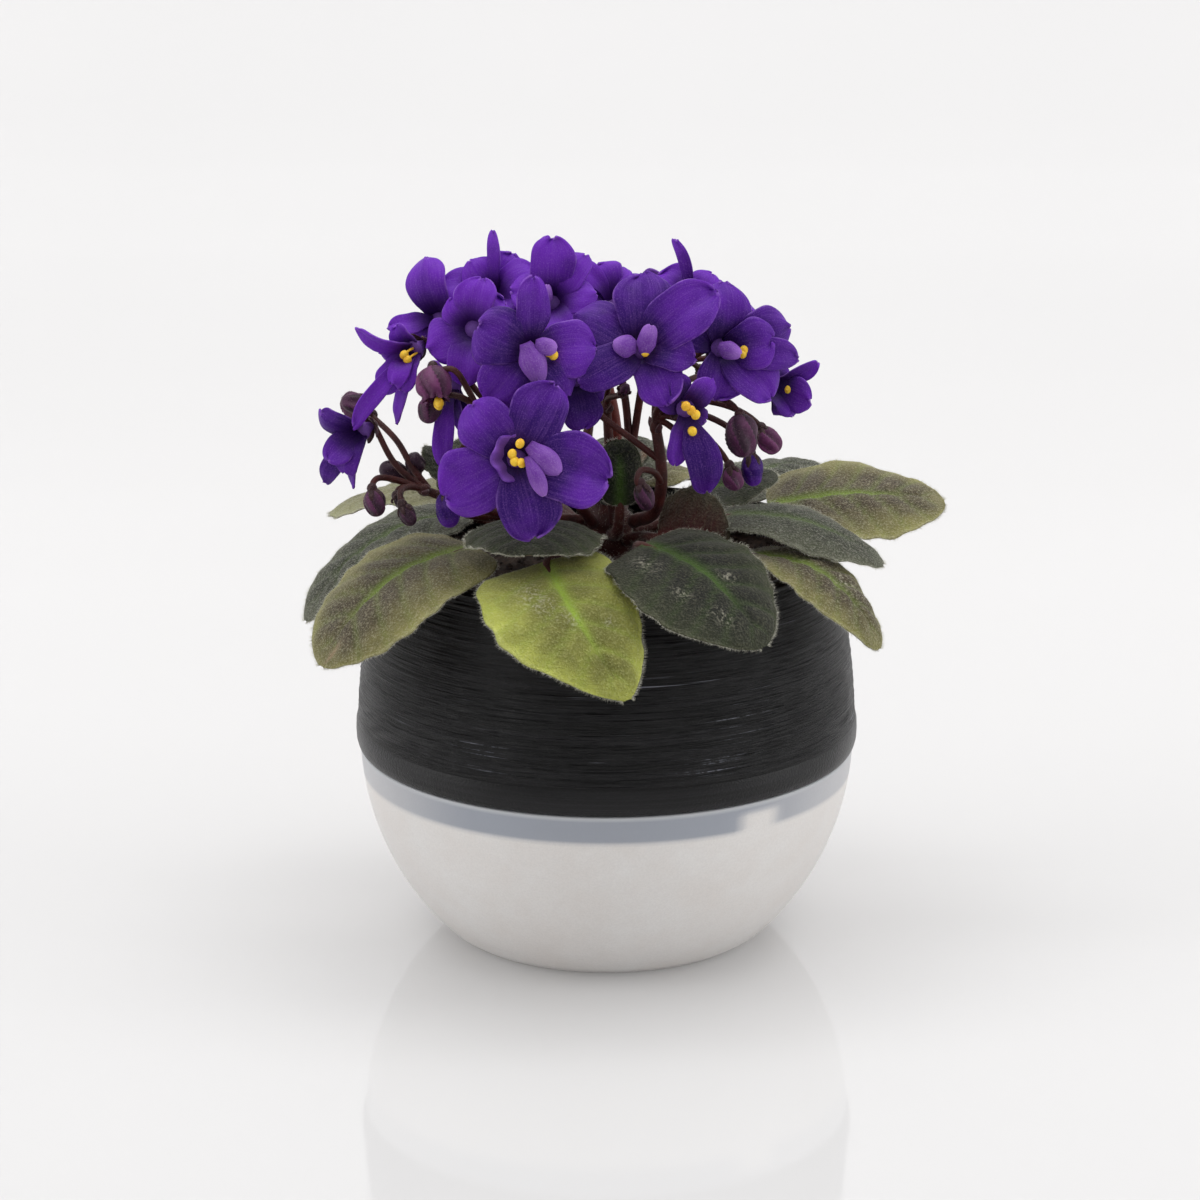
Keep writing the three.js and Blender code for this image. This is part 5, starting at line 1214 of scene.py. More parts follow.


# blooms

# Each bloom is given by its throat's centre, the way that its face looks, and for each petal the vector from
# the throat to its tip and its half width. Petaloids run between two such vectors, and have a half width too.
# Anthers are given by how far they stand right of and above the throat. A cup has its first and last angle,
# radius and height, a higher tone is a brighter violet, painted light that brightens the blooms of the crest
# and the left, and a stem is the way that the bloom's own stalk takes. Blooms that only show from behind have
# petal lengths and a roll.
BLOOMS = [
    {"name": "front", "centre": [-22, -57, 141], "facing": [0, -0.95, 0.3],
     "anthers": [(-1, 0.9), (-0.4, -0.9), (1.3, -1.3), (0.9, 3.4)], "cup": (78, 282, 5.6, 3.6),
     "petals": [(-11.2, 4, 12.6, 6.8), (9.5, 5, 17.2, 6.6), (22.4, -1, -5.2, 8.8), (4.2, -6, -18.4, 7.4),
                (-17.6, -2, -9.4, 8.6)],
     "petaloids": [((3, -3, 4.2), (10.6, -4, -2.6), 2.7), ((2.8, -4, 1.6), (6.8, -6, -7.8), 1.8)]},
    {"name": "upper_front", "centre": [-18.5, -45, 164.8], "facing": [0.2, -0.92, 0.3],
     "anthers": [(4.8, -1.4), (3.7, -0.6)],
     "petals": [(-12.6, -1, 6.8, 8.2), (0.6, 5, 17.6, 4), (15.6, 1, 0.6, 7.2),
                (9, -4, -9.8, 5.6), (-10.4, -5, -11, 6.8)],
     "petaloids": [((-1.2, -4, 3.2), (2.6, -5, -6.6), 3), ((1, -4, 2.8), (6.2, -3.4, 1.6), 2.1)]},
    {"name": "upper_centre", "centre": [8.4, -40, 164.5], "facing": [0.1, -0.85, 0.5],
     "anthers": [(2, 0.4), (0.5, -1.9)],
     "petals": [(0.4, 8, 17, 7.4), (-15.8, 2, 8.4, 6.4), (18.4, 3, 13.6, 6.6), (13, -4, -1, 4.6),
                (-15, -8, -6, 5), (6.5, -6, -12.6, 5.6)],
     "petaloids": [((0.4, -4, -0.8), (2.4, -4, 6.6), 2.2), ((-1, -4, 1.4), (-6.8, -3, 2), 2.6)]},
    {"name": "left_high", "tone": 0.6, "centre": [-42.8, -12, 165.8], "facing": [-0.45, -0.8, 0.35],
     "petals": [(-3.1, 2, 14.6, 5.9), (-12.1, -1, -2.2, 2.8), (5, 2, 6, 4.4), (4, -2, -9, 5),
                (-7, 2, -4.6, 3.4)]},
    {"name": "left_side", "tone": 0.9, "centre": [-48.4, -27, 160.5], "facing": [-0.55, -0.8, -0.25],
     "anthers": [(-0.2, 0.6), (0.6, -0.6)],
     "stem": [[-20, -26, 142], [-26, -28, 145.4], [-31.7, -28, 150],
              [-35.9, -25.6, 155], [-41.1, -23, 159.4]],
     "petals": [(-13.5, -2, 5.8, 2.5), (-11.8, 2, 2.6, 1.3), (-8, 1, -0.8, 2.6), (-7.8, -2, -9.6, 3.8),
                (-14.9, -5, -17.6, 2), (-4.8, 2, -19, 1.9), (-3, -5, -8, 3.4), (-4, 3, 6, 3),
                (-4.4, -6, -6.6, 2.6)]},
    {"name": "left_middle", "tone": 0.5, "centre": [-33.4, -30, 167.3], "facing": [-0.3, -0.9, 0.3],
     "petals": [(2.3, 1, 12.2, 5.6), (-10.9, 1, -5.5, 6.2), (-4.8, 3, 7, 5.2), (-1.5, -3, -13.7, 4.8),
                (9, 2, -5, 6), (8, 4, 6, 5)]},
    {"name": "crest_left", "tone": 0.8, "centre": [-28.6, -10, 171.2], "facing": [0, -0.75, 0.6],
     "petals": [(0, 2, 16, 1.5), (-5.6, 1, 8.6, 5), (-9.4, 2, 4, 4.6), (4.8, 4, 10, 5.2), (10.6, 0, 6, 6),
                (-13, 0, 2.6, 5.2), (-9.8, -3, -2, 5.4), (2, -9, -4, 7)]},
    {"name": "crest_middle", "tone": 0.85, "centre": [-13.8, -18, 171.4], "facing": [0, -0.85, 0.45],
     "petals": [(0.2, 4, 15.4, 5.4), (8.4, 3, 11.4, 3.8), (11, 0, 2, 4.6), (-10, 0, 3, 5), (4, -6, -6, 5.6)],
     "petaloids": [((-1.6, -2, -1), (-1, -1, 4.4), 1.3)]},
    {"name": "crest_back", "tone": 0.8, "centre": [1.5, -4, 168.5], "facing": [0, -0.5, 0.85],
     "petals": [(-4.4, 5, 8.2, 5.8), (2.6, 6, 7.4, 3.6), (10.4, 3, 4.6, 4.4), (-10, 0, 2, 5.4),
                (-8, 3, 9.4, 2.2), (0, -9, -6, 7)]},
    {"name": "crest_right", "tone": 0.5, "centre": [21, -12, 170], "facing": [0.1, -0.7, 0.7],
     "petals": [(-3.6, 2, 15.4, 1.3), (-8.4, 2, 6, 6.4), (5.4, 2, 6.8, 4), (9, -2, 0, 6), (-5, -8, -6, 7)]},
    {"name": "right_front", "centre": [28.5, -31, 162.4], "facing": [0.35, -0.9, 0.2],
     "anthers": [(4.4, -0.8), (4, -1.6)],
     "petals": [(12.4, -2, 2.6, 6.6), (17.2, 5, 4.2, 6.6), (1, 5, 15.6, 5.4), (19, 2, -3, 3.8),
                (12.6, -3, -11.6, 6), (-1.6, -4, -12, 6), (-8, 4, 5, 6)],
     "petaloids": [((-1.2, -3, 1.4), (4.4, -5, -0.4), 2)]},
    {"name": "right_side", "centre": [42.5, -12, 148.2], "facing": [0.55, -0.8, -0.15],
     "anthers": [(2, 0), (2.4, -1.4)],
     "petals": [(10.6, -2, 6.4, 1.9), (8.6, -4, -3, 4.4), (4.6, -3, -6.6, 3.6), (2, 3, -8.4, 2.2),
                (3, 4, 4, 4)]},
    {"name": "right_wilted", "centre": [19.6, -45, 150.2], "facing": [0.2, -0.95, 0],
     "anthers": [(-1, 1.7), (0.4, 0.5), (0.6, -4.6), (1.5, -0.6)],
     "petals": [(-3.2, 1, 9.2, 2.6), (6, 1, 7.4, 3.2), (-2.8, -2, -13.4, 3), (5.4, -1, -21, 4),
                (4.8, 1, -2.6, 2.4), (-7, 1, 2, 2.2)]},
    {"name": "left_small", "centre": [-62, -26, 139.7], "facing": [-0.6, -0.8, -0.15],
     "anthers": [(-4.2, -3.2), (-3.6, -4)],
     "stem": [[-46, -21, 123.5], [-53, -22, 130.2]],
     "petals": [(-9.4, -2, 4.4, 4), (-7.6, -4, -6, 4), (-9.2, 1, -13.2, 2.4), (-1.6, 0, -14.2, 1.7),
                (-4, -4, -9, 3.6)]},
    {"name": "left_drooping", "tone": 0.1, "centre": [-38.8, -31, 152.4], "facing": [-0.3, -0.8, -0.4],
     "petals": [(-2.1, -3, -19.3, 2.3), (3.2, 0, -11.9, 1.9), (4.4, 3, -8, 2.2), (-2.4, 4, -8, 3),
                (-5.2, 2, 5.6, 4)]},
    {"name": "middle_dark", "centre": [-7.6, -36, 155.5], "facing": [0.2, -0.95, 0],
     "stem": [[13.3, -24, 132], [6.4, -24, 137.4], [-1.7, -24, 143.7], [-6.4, -26, 149.6]],
     "petals": [(6.4, 1, -5, 4.4), (1.8, -2, -11.8, 4.8), (-9, 0, -3, 6), (5, 3, 8, 5.5), (-5, 3, 8, 5.5)]},
    {"name": "back_left", "centre": [-28, 26, 160], "facing": [-0.45, 0.7, 0.5], "roll": 0,
     "anthers": [(-1, 0), (1, 0)],
     "lengths": [14, 14, 16, 15, 15]},
    {"name": "back", "centre": [8, 38, 156], "facing": [0.1, 0.85, 0.45], "roll": 15,
     "anthers": [(-1, 0), (1, 0)],
     "lengths": [14, 14, 16, 16, 15]},
    {"name": "back_right", "centre": [35, 18, 155], "facing": [0.65, 0.55, 0.5], "roll": -10,
     "lengths": [13, 14, 15, 15, 14]},
]
PETAL_AZIMUTHS = [126, 54, -18, -90, -162]
PETAL_ROWS = 22
PETAL_COLUMNS = 17
PETAL_START = 0.9
SLIM_PETAL = 0.3

# which of its piece's materials a shape has, after the petals'
LILAC = 1


def bloom_frame(bloom):
    """The throat's centre, and the directions out of the face, to the bloom's right and up."""
    out = unit(np.array(bloom["facing"], float))
    up = turned_about(unit(UP - out * (UP @ out)), out, bloom.get("roll", 0))
    return np.array(bloom["centre"], float), out, np.cross(up, out), up


def petal_vectors(bloom):
    """Tips and half widths, as given, or five petals spread round the face from their lengths."""
    if "petals" in bloom:
        return [(np.array(values[:3], float), values[3]) for values in bloom["petals"]]
    _, out, right, up = bloom_frame(bloom)
    vectors = []
    for azimuth, length in zip(PETAL_AZIMUTHS, bloom["lengths"]):
        angle = math.radians(azimuth + random.uniform(-8, 8))
        tip = length * (right * math.cos(angle) + up * math.sin(angle)) + out * random.uniform(-1, 3)
        vectors.append((tip, length * random.uniform(0.42, 0.52)))
    return vectors


def petal_width(half, length, r, s, t, phase):
    """half tanh((1.5 + 1.15 r) / half), or a narrow claw for a slim petal, rounded off at the tip."""
    if half / length < SLIM_PETAL:
        claw = 1.2 + (half - 1.2) * smooth(s, 0.0, 0.45)
    else:
        claw = half * np.tanh((1.5 + 1.15 * r) / half)
    rounding = np.sqrt(1 - np.clip((s - 0.55) / 0.45, 0, 1) ** 2.4 * 0.985)
    return claw * rounding * (1 + 0.05 * np.sin(9 * s + phase) * t)


def petal(bloom, tip, half, lean):
    """throat + along r + across t w(s) + over h: r runs to the petal's length, w is its width, h adds a bow,
    a twist, a curl and ruffles, and the throat's funnel sinks along the face."""
    centre, out, _, _ = bloom_frame(bloom)
    length = np.linalg.norm(tip)
    half = half * PETAL_FULLNESS
    along = tip / length
    over = unit(out - along * (out @ along))
    across = np.cross(over, along)
    phase = random.uniform(0, 2 * np.pi, 6)
    spread = np.linspace(-1, 1, PETAL_COLUMNS) * np.pi / 2 * 0.85
    u, t = grids(np.linspace(0, 1, PETAL_ROWS), np.sin(spread) / math.sin(np.pi / 2 * 0.85))
    s = np.sin(u * np.pi / 2)
    r = PETAL_START + (length - PETAL_START) * s
    width = petal_width(half, length, r, s, t, phase[3])
    uneven = (0.015 * np.sin(2.6 * t + phase[0]) + 0.012 * np.sin(7 * t + phase[4])) * smooth(s, 0.6, 1)
    r = r + length * uneven
    x = t * width
    share = np.clip((r - THROAT_RADIUS) / (length - THROAT_RADIUS), 0, 1)
    bow = random.uniform(0.03, 0.15) * length * 4 * share * (1 - share)
    twist = lean * random.uniform(0.5, 1.1) * t * smooth(s, 0.15, 0.7)
    curl = random.uniform(-0.34, 0.16) * half * t * t * smooth(s, 0.25, 1)
    ruffle = 0.09 * half * np.sin(4.2 * t + phase[1]) * share**2
    ruffle = ruffle + 0.05 * half * np.sin(9 * t + phase[2] + 3 * s) * share**4
    recurve = -random.uniform(0.0, 0.1) * length * smooth(share, 0.6, 1) ** 2
    crease = -0.35 * np.exp(-((x / 1.3) ** 2)) * smooth(share, 0.0, 0.3) * (1 - smooth(share, 0.6, 1))
    sway = 0.03 * length * np.sin(phase[5]) * np.sin(np.pi * share)
    height = bow + twist + curl + ruffle + recurve + crease
    from_middle = np.hypot(r, x)
    funnel = -THROAT_DEPTH * np.exp(-((from_middle / 2.3) ** 2))
    middle = centre + along * r[..., None] + across * (x + sway)[..., None]
    middle = middle + over * height[..., None] + out * funnel[..., None]
    # darker towards the throat: the petal's own deeper colour, and painted shade in the funnel
    throat = 1 - smooth(from_middle, 1.6, 8.5)
    # a random tone, plus the bloom's tone, which is painted light
    tone = random.uniform(-0.3, 0.3) + bloom.get("tone", 0)
    masks = np.stack([s, np.abs(t), np.zeros_like(s), np.full_like(s, tone), t, throat * 0.85], -1)
    return closed_sheet(middle, PETAL_THICKNESS, masks)


def petaloid(bloom, start, end, half):
    """A curled inner petal like a pillow: line + half (across sin a + over (cos a - 1) 0.8), a from -1.8
    to 1.8."""
    centre, out, _, _ = bloom_frame(bloom)
    start, end = np.array(start, float), np.array(end, float)
    length = np.linalg.norm(end - start)
    along = (end - start) / length
    over = unit(out - along * (out @ along))
    across = np.cross(over, along)
    u, angle = grids(np.linspace(0, 1, 22), np.linspace(-1.8, 1.8, 19))
    s = np.sin(u * np.pi / 2)
    size = half * np.sqrt(1 - 0.985 * np.clip((s - 0.5) / 0.5, 0, 1) ** 2) * (0.5 + 0.5 * smooth(s, 0, 0.45))
    size = size * (1 + 0.07 * np.sin(7 * s + start[0]))
    bow = 0.16 * length * np.sin(np.pi * s)
    middle = centre + start + along * (length * s)[..., None] + across * (np.sin(angle) * size)[..., None]
    middle = middle + over * (bow + size * 0.8 * (np.cos(angle) - 1))[..., None]
    flat = np.zeros_like(s)
    # the last mask darkens the base towards the throat: own colour, and painted shade
    masks = np.stack([s, flat, flat, 0.1 * np.sin(9 * s), angle / 1.8, (1 - smooth(s, 0, 0.3)) * 0.5], -1)
    return closed_sheet(middle, PETALOID_THICKNESS, masks, LILAC)


def ruffled_cup(bloom, first, last, radius, height):
    """A ring of grown-together inner petals, open on one side: centre + away r(v) + out h(v), ruffled."""
    centre, out, right, up = bloom_frame(bloom)
    u, v = grids(np.linspace(0, 1, 46), np.linspace(0, 1, 13))
    angle = np.radians(first + (last - first) * u)
    ends = np.sin(np.pi * (0.03 + 0.94 * u)) ** 0.5
    r = 1.9 + (radius - 1.9) * v**0.8 + (0.35 * np.sin(6.3 * angle) + 0.5 * v**3) * v
    h = -2.4 + (height + 2.4) * v * ends + 0.5 * np.sin(8.7 * angle + 1) * v**2
    away = right * np.cos(angle)[..., None] + up * np.sin(angle)[..., None]
    middle = centre + away * r[..., None] + out * h[..., None]
    flat = np.zeros_like(u)
    # darker towards the cup's base: own colour, and painted shade in the throat
    masks = np.stack([v, v, flat, flat - 0.1, u * 8, 0.75 * (1 - v)], -1)
    return closed_sheet(middle, PETALOID_THICKNESS, masks)


def flower_tube(bloom):
    """The short tube behind the face, from the calyx to the throat, as pale as an underside."""
    centre, out, _, _ = bloom_frame(bloom)
    steps = 8
    line = centre - out * np.linspace(CALYX_SETBACK + 0.3, 0.9, steps)[:, None]
    masks = np.zeros((steps, 6))
    masks[:, 0] = np.linspace(0, 0.4, steps)
    masks[:, 2] = 1
    # a little of the throat's darkening: own colour, and painted shade
    masks[:, 5] = 0.3
    return tube(line, 1.1 + 1.4 * smooth(np.linspace(0, 1, steps), 0, 1), 14, masks)


def corolla(bloom):
    """A bloom's petals, which twist one way and the other by turns, its tube and its inner petals."""
    parts = []
    for number, (tip, half) in enumerate(petal_vectors(bloom)):
        parts.append(petal(bloom, tip, half, 1 if number % 2 else -1))
    parts.append(flower_tube(bloom))
    parts += [petaloid(bloom, *values) for values in bloom.get("petaloids", [])]
    if "cup" in bloom:
        parts.append(ruffled_cup(bloom, *bloom["cup"]))
    return joined(parts)


def anthers(bloom):
    """Round yellow lobes with a furrow, each on a short filament out of the throat."""
    centre, out, right, up = bloom_frame(bloom)
    parts = []
    for number, (beside, above) in enumerate(bloom["anthers"]):
        head = centre + out * (2.6 + 0.4 * math.hypot(beside, above) ** 0.5) + right * beside + up * above
        foot = head - out * 4 + right * 0.3 * (number % 2)
        filament = line_through([foot, (foot + head) / 2 + up * 0.2, head - out * 0.4], 8)
        parts.append(tube(filament, FILAMENT_RADIUS, 7))
        aim = up + 0.35 * right * (1 - number % 3)
        parts.append(egg(head, aim, ANTHER_LENGTH, ANTHER_RADIUS, 18, 13, furrows=2, furrow_depth=0.06))
    return joined(parts)


# sprays

# Each spray is given by its azimuth on the crown, its stalk's line from there, and the blooms and buds on it.
# Some have a gap of their own at the root, a thicker stalk, or extra stalks by line, radius and tone. A bud
# is given by its middle, length, radius and the way that its tip points, and can be creased, opening or
# violet. Its tone is from dark to light, and its stem the way that its own stalk takes.
SPRAYS = [
    {"name": "left", "root": 212, "root_gap": 0.75,
     "stalk": [[-20, -12, 114], [-34, -17, 118], [-46, -21, 123.5]],
     "blooms": ["left_small"],
     "buds": [
         {"middle": [-63.1, -12, 143], "length": 9, "radius": 3.7, "aim": [-0.8, -0.2, 0.5],
          "creased": True,
          "stem": [[-45, -19.6, 123.5], [-48.6, -19, 128.2], [-52.7, -17, 134.9]]},
         {"middle": [-57.8, -34, 123.6], "length": 7, "radius": 2.9, "aim": [0.2, -0.2, -1]},
         {"middle": [-49.6, -35, 120.6], "length": 5.6, "radius": 2.2, "aim": [0.5, -0.2, -1], "tone": -0.3},
         {"middle": [-54, -16, 127], "length": 7.6, "radius": 3, "aim": [-0.7, -0.3, 0.3], "tone": -0.6},
         {"middle": [-48.4, -17, 129.4], "length": 6, "radius": 2.6, "aim": [-0.1, -0.4, 0.9], "tone": -0.6},
         {"middle": [-52, -30, 122.6], "length": 3, "radius": 1.2, "aim": [0.3, -0.6, -0.7], "tone": -0.4}]},
    {"name": "front", "root": 248, "stalk": [[-12, -20, 127], [-20, -26, 143]],
     "blooms": ["front", "upper_front", "left_middle", "left_high", "left_drooping", "left_side"],
     "buds": [
         {"middle": [-42.4, -41, 155.4], "length": 10, "radius": 4.6, "aim": [0.1, -0.62, -1],
          "opening": True, "tone": 0.35,
          "stem": [[-20, -26, 142], [-31.5, -37, 148.2], [-34, -39.5, 153.5], [-38, -41, 159.5]]},
         {"middle": [-43.8, -36, 148], "length": 7, "radius": 3.1, "aim": [-0.3, -0.4, -0.9], "tone": -0.1,
          "stem": [[-32.6, -38.2, 150], [-37.6, -39, 152.4], [-41.6, -37.6, 151.6]]},
         {"middle": [-39.5, -34, 122], "length": 9.4, "radius": 3.4, "aim": [0.1, -0.3, -1],
          "violet": True}]},
    {"name": "middle", "root": 284, "stalk": [[1, -9, 126], [0, -10, 142]],
     "blooms": ["crest_left", "crest_middle", "crest_back", "upper_centre"],
     "extra": [([[1.6, 3, 112], [1.9, 4, 124], [2.4, 4, 130.1], [1.9, 4, 135.2], [-4, 2, 158]], 1.7, 0.9),
               ([[3.8, -7, 118], [5.5, -2, 133], [4.4, -4, 145], [1, -5, 160]], 1.0, 0.1),
               ([[4.8, -7, 118], [7.2, -2, 134], [8.5, -4, 143.4], [12, -10, 163]], 1.0, 0.15)],
     "buds": [{"middle": [4.6, -20, 149.4], "length": 3.6, "radius": 1.3, "aim": [0.3, -0.6, 0.6]}]},
    {"name": "right", "root": 322, "thick": 1.2,
     "stalk": [[12.4, -19, 118], [13.8, -23.4, 127.4], [13.3, -24, 134], [12.3, -24, 140.3]],
     "blooms": ["right_wilted", "right_front", "right_side", "crest_right", "middle_dark"],
     "buds": [
         {"middle": [9.4, -36, 125.6], "length": 7, "radius": 2.6, "aim": [0.3, -0.3, -1], "tone": -0.1,
          "stem": [[13.6, -24, 126.4], [11.4, -29, 130.4], [8.2, -33, 131.4], [7.6, -35.4, 129.2]]},
         {"middle": [31.5, -32, 129.4], "length": 6.4, "radius": 2.6, "aim": [0.3, -0.3, -1],
          "creased": True},
         {"middle": [33.4, -36, 141.4], "length": 11, "radius": 4.3, "aim": [0.1, -0.3, -1], "creased": True},
         {"middle": [40.6, -26, 137.6], "length": 7.4, "radius": 3, "aim": [0.5, -0.3, -0.8],
          "creased": True},
         {"middle": [36.4, -28, 130.6], "length": 8.4, "radius": 2.9, "aim": [0.1, -0.2, -1], "violet": True},
         {"middle": [25, -30, 130.6], "length": 4, "radius": 1.6, "aim": [0.4, -0.4, -0.8]}]},
    {"name": "back", "root": 108, "stalk": [[-5, 16, 127], [-2, 20, 142]],
     "blooms": ["back_left", "back", "back_right"],
     "buds": [{"middle": [-12, 36, 140], "length": 7, "radius": 2.4, "aim": [-0.2, 0.6, -0.6]},
              {"middle": [26, 34, 140], "length": 6, "radius": 2.2, "aim": [0.4, 0.5, -0.6]}]},
]
SPRAY_ROOT_Z = 111
STALK_STEPS = 26

# which of its piece's materials a shape has
STALK, SEPAL, BUD, VIOLET, YELLOW = 0, 1, 2, 3, 4


def crossing(direction):
    """Two directions across a given one."""
    across = unit(np.cross(np.array([1, 0.3, 0.2]), direction))
    return across, np.cross(direction, across)


def sepal(seat, out, away, length, width, opening, tone):
    """A narrow pointed leaf: seat + away a(s) + out b(s) + across t w(s), opening sets how far it spreads."""
    across = np.cross(out, away)
    s, t = grids(np.linspace(0, 1, 9), np.linspace(-1, 1, 5))
    w = width * np.maximum(np.sin(np.pi * np.minimum(1, s * 0.85 + 0.15)) ** 0.8, 0.05)
    bend = opening * s * length
    rise = s * length * math.sqrt(max(0.05, 1 - opening**2)) - 0.5
    middle = seat + away * (0.9 + bend + 0.5 * np.sin(np.pi * s) - 0.25 * t * t)[..., None]
    middle = middle + out * rise[..., None] + across * (t * w)[..., None]
    masks = np.stack([s, np.full_like(s, tone), np.zeros_like(s)], -1)
    return closed_sheet(middle, SEPAL_THICKNESS, masks, SEPAL)


def calyx(seat, out, length, width, opening, tone):
    """A small knob with five sepals round it."""
    across, over = crossing(out)
    parts = [egg(seat - out * 0.7, out, 3.0, 1.35, 12, 8, SEPAL, (0.2, tone, 0))]
    for number in range(5):
        angle = 2 * np.pi * number / 5 + random.uniform(-0.15, 0.15)
        away = across * math.cos(angle) + over * math.sin(angle)
        parts.append(sepal(seat, out, away, length * random.uniform(0.85, 1.1), width, opening, tone))
    return joined(parts)


def bud(data):
    """Five closed petals that overlap: radius sqrt(1 - x^2) (1 - 0.2 f^2), f from 0 to 1 across each petal. A
    creased bud has deep folds towards its tip, and an opening one flares there into a frilled mouth with
    anthers in it."""
    place, length, radius = np.array(data["middle"], float), data["length"], data["radius"]
    opening = data.get("opening")
    aim = unit(data["aim"])
    steps, sides = 28, 60
    x = -np.cos(np.linspace(0.1, np.pi - 0.08, steps))
    angle = np.linspace(0, 2 * np.pi, sides, endpoint=False)[:, None]
    f = (5 * angle / (2 * np.pi) + 0.4 * x + random.uniform(0, 1)) % 1
    ends = smooth(1 - x, 0, 0.5)
    fold = 0.0
    if data.get("creased") or opening:
        fold = 0.14 * np.cos(5 * angle + 2.4 * x + 1) * smooth(x, -0.4, 0.5)
    r = radius * np.sqrt(1 - x * x) * (1 - 0.2 * f * f * ends + 0.05 * np.sin(2 * angle + 3 * x) + fold)
    reach = np.broadcast_to(x, r.shape)
    if opening:
        frill = 0.14 * np.sin(9 * angle + 1) + 0.08 * np.sin(17 * angle)
        flare = smooth(x, 0.45, 0.85) * (1 - smooth(x, 0.93, 1))
        r = r * (1 - flare) + radius * flare * (0.62 + frill)
        reach = np.minimum(reach, 0.8 + frill * 0.6) - 1.1 * smooth(reach, 0.93, 1)
    across, over = crossing(aim)
    away = np.cos(angle)[..., None] * across + np.sin(angle)[..., None] * over
    rings = place + (reach * length / 2)[..., None] * aim + r[..., None] * away
    # random tone and the bud's own, darker towards each petal's edge that slips under the next: painted shade
    tone = random.uniform(-0.1, 0.25) + data.get("tone", 0) - 0.6 * (f - 0.5) * ends
    masks = np.stack([reach, tone, np.zeros_like(r)], -1)
    parts = [closed_rings(rings, masks, VIOLET if data.get("violet") else BUD)]
    if opening:
        for side in (-0.8, 0.9):
            head = place + aim * length * 0.47 + across * side + over * 0.7
            parts.append(egg(head, aim + 0.3 * over, 3.0, 1.15, 14, 9, YELLOW))
    seat = place - aim * length * 0.42
    held = 0.3 if opening else 0.46
    parts.append(calyx(seat, aim, length * held, radius * 0.36, 0.4, random.uniform(-0.2, 0.15)))
    return joined(parts)


def own_stalk(top, fork, end, arrival, stem):
    """The stalk of one bloom or bud: through its stem's points, or in a curve from the spray's fork."""
    if stem:
        curve = line_through([*np.array(stem, float), end], 30)
    else:
        pull = np.linalg.norm(end - top) * 0.4
        curve = bezier(top, top + fork * pull, end - arrival * pull, end, 22)
    radius = np.linspace(PEDICEL_RADIUS * 1.2, PEDICEL_RADIUS, len(curve))
    return tube(curve, radius, 9, kind=STALK)


def spray(data):
    """A stalk with a pair of bracts at its fork, and on it calyces, buds and their own stalks."""
    gap = data.get("root_gap", PEDUNCLE_RADIUS + 0.3)
    root = towards(data["root"]) * (CROWN_RADIUS + gap) + UP * SPRAY_ROOT_Z
    points = [root, *np.array(data["stalk"], float)]
    top = points[-1]
    fork = unit(points[-1] - points[-2])
    thick = PEDUNCLE_RADIUS * data.get("thick", 1)
    radius = np.linspace(thick, thick * 0.75, STALK_STEPS)
    parts = [tube(line_through(points, STALK_STEPS), radius, 12, kind=STALK)]
    parts.append(egg(top, fork, 4, 1.6, 12, 10, STALK))
    for side in (1, -1):
        away = crossing(fork)[0] * side
        parts.append(sepal(top - fork * 0.6, fork, away, 5.0, 1.0, 0.75, 0.2))
    for name in data["blooms"]:
        bloom = next(item for item in BLOOMS if item["name"] == name)
        centre, out, _, _ = bloom_frame(bloom)
        seat = centre - out * CALYX_SETBACK
        parts.append(own_stalk(top, fork, seat - out * 1.2, out, bloom.get("stem")))
        parts.append(calyx(seat, out, 4.6, 1.15, 0.72, random.uniform(0, 0.3)))
    for given in data["buds"]:
        aim = unit(given["aim"])
        end = np.array(given["middle"], float) - aim * 0.35 * given["length"]
        parts.append(own_stalk(top, fork, end, aim, given.get("stem")))
        parts.append(bud(given))
    for points, thickness, tone in data.get("extra", []):
        share = np.linspace(0, 1, STALK_STEPS)
        masks = np.stack([share, np.full_like(share, tone), np.zeros_like(share)], -1)
        parts.append(tube(line_through(points, STALK_STEPS), thickness, 12, masks, STALK))
    return joined(parts)


def crown_stem():
    """The short stem with the scars of old leaves: radius(z) + scars, rounded off at the top."""
    steps, sides = 40, 40
    z = np.linspace(CROWN_BOTTOM_Z, CROWN_TOP_Z, steps)
    share = np.linspace(0, 1, steps)
    rounding = np.minimum(1, np.sqrt(np.clip(1.02 - smooth(share, 0.75, 1.0), 0.02, 1)))
    radius = CROWN_RADIUS * rounding * (0.8 + 0.2 * smooth(share, 0, 0.3))
    angle = np.linspace(0, 2 * np.pi, sides, endpoint=False)[:, None]
    scars = 0.35 * np.sin(5 * angle + 0.9 * z) * np.sin(3 * angle - 1.3 * z)
    r = radius * 0.96 + scars * smooth(1 - share, 0, 0.2)
    return closed_rings(round_axis(r, angle, z), np.zeros((sides, steps, 3)), PETIOLE)


def young_leaf(azimuth):
    """An upright leaf on the crown's top: away reach(s, t) + across t w(s) + up s."""
    away = towards(azimuth)
    across = np.cross(UP, away)
    u, t = grids(np.linspace(0, 1, 20), np.linspace(-1, 1, 13))
    s = np.sin(u * np.pi / 2)
    width = 8 * (0.25 + np.sin(np.pi * 0.85 * s)) * 0.5 * np.sqrt(1 - 0.98 * s**8)
    reach = 3 + 9 * s * s - 1.2 * t * t * np.sin(np.pi * s) - 0.6 * np.exp(-((t * 4) ** 2))
    middle = away * reach[..., None] + across * (t * width)[..., None] + UP * (113 + 15 * s)[..., None]
    rib = np.exp(-((t * 5) ** 2)) * (1 - s)
    flat = np.zeros_like(s)
    masks = np.stack([rib, flat, flat, t * t, flat, flat], -1)
    return closed_sheet(middle[::-1], 1.0, masks[::-1])


def crown():
    return joined([crown_stem()] + [young_leaf(azimuth) for azimuth in YOUNG_LEAF_AZIMUTHS])


# pieces

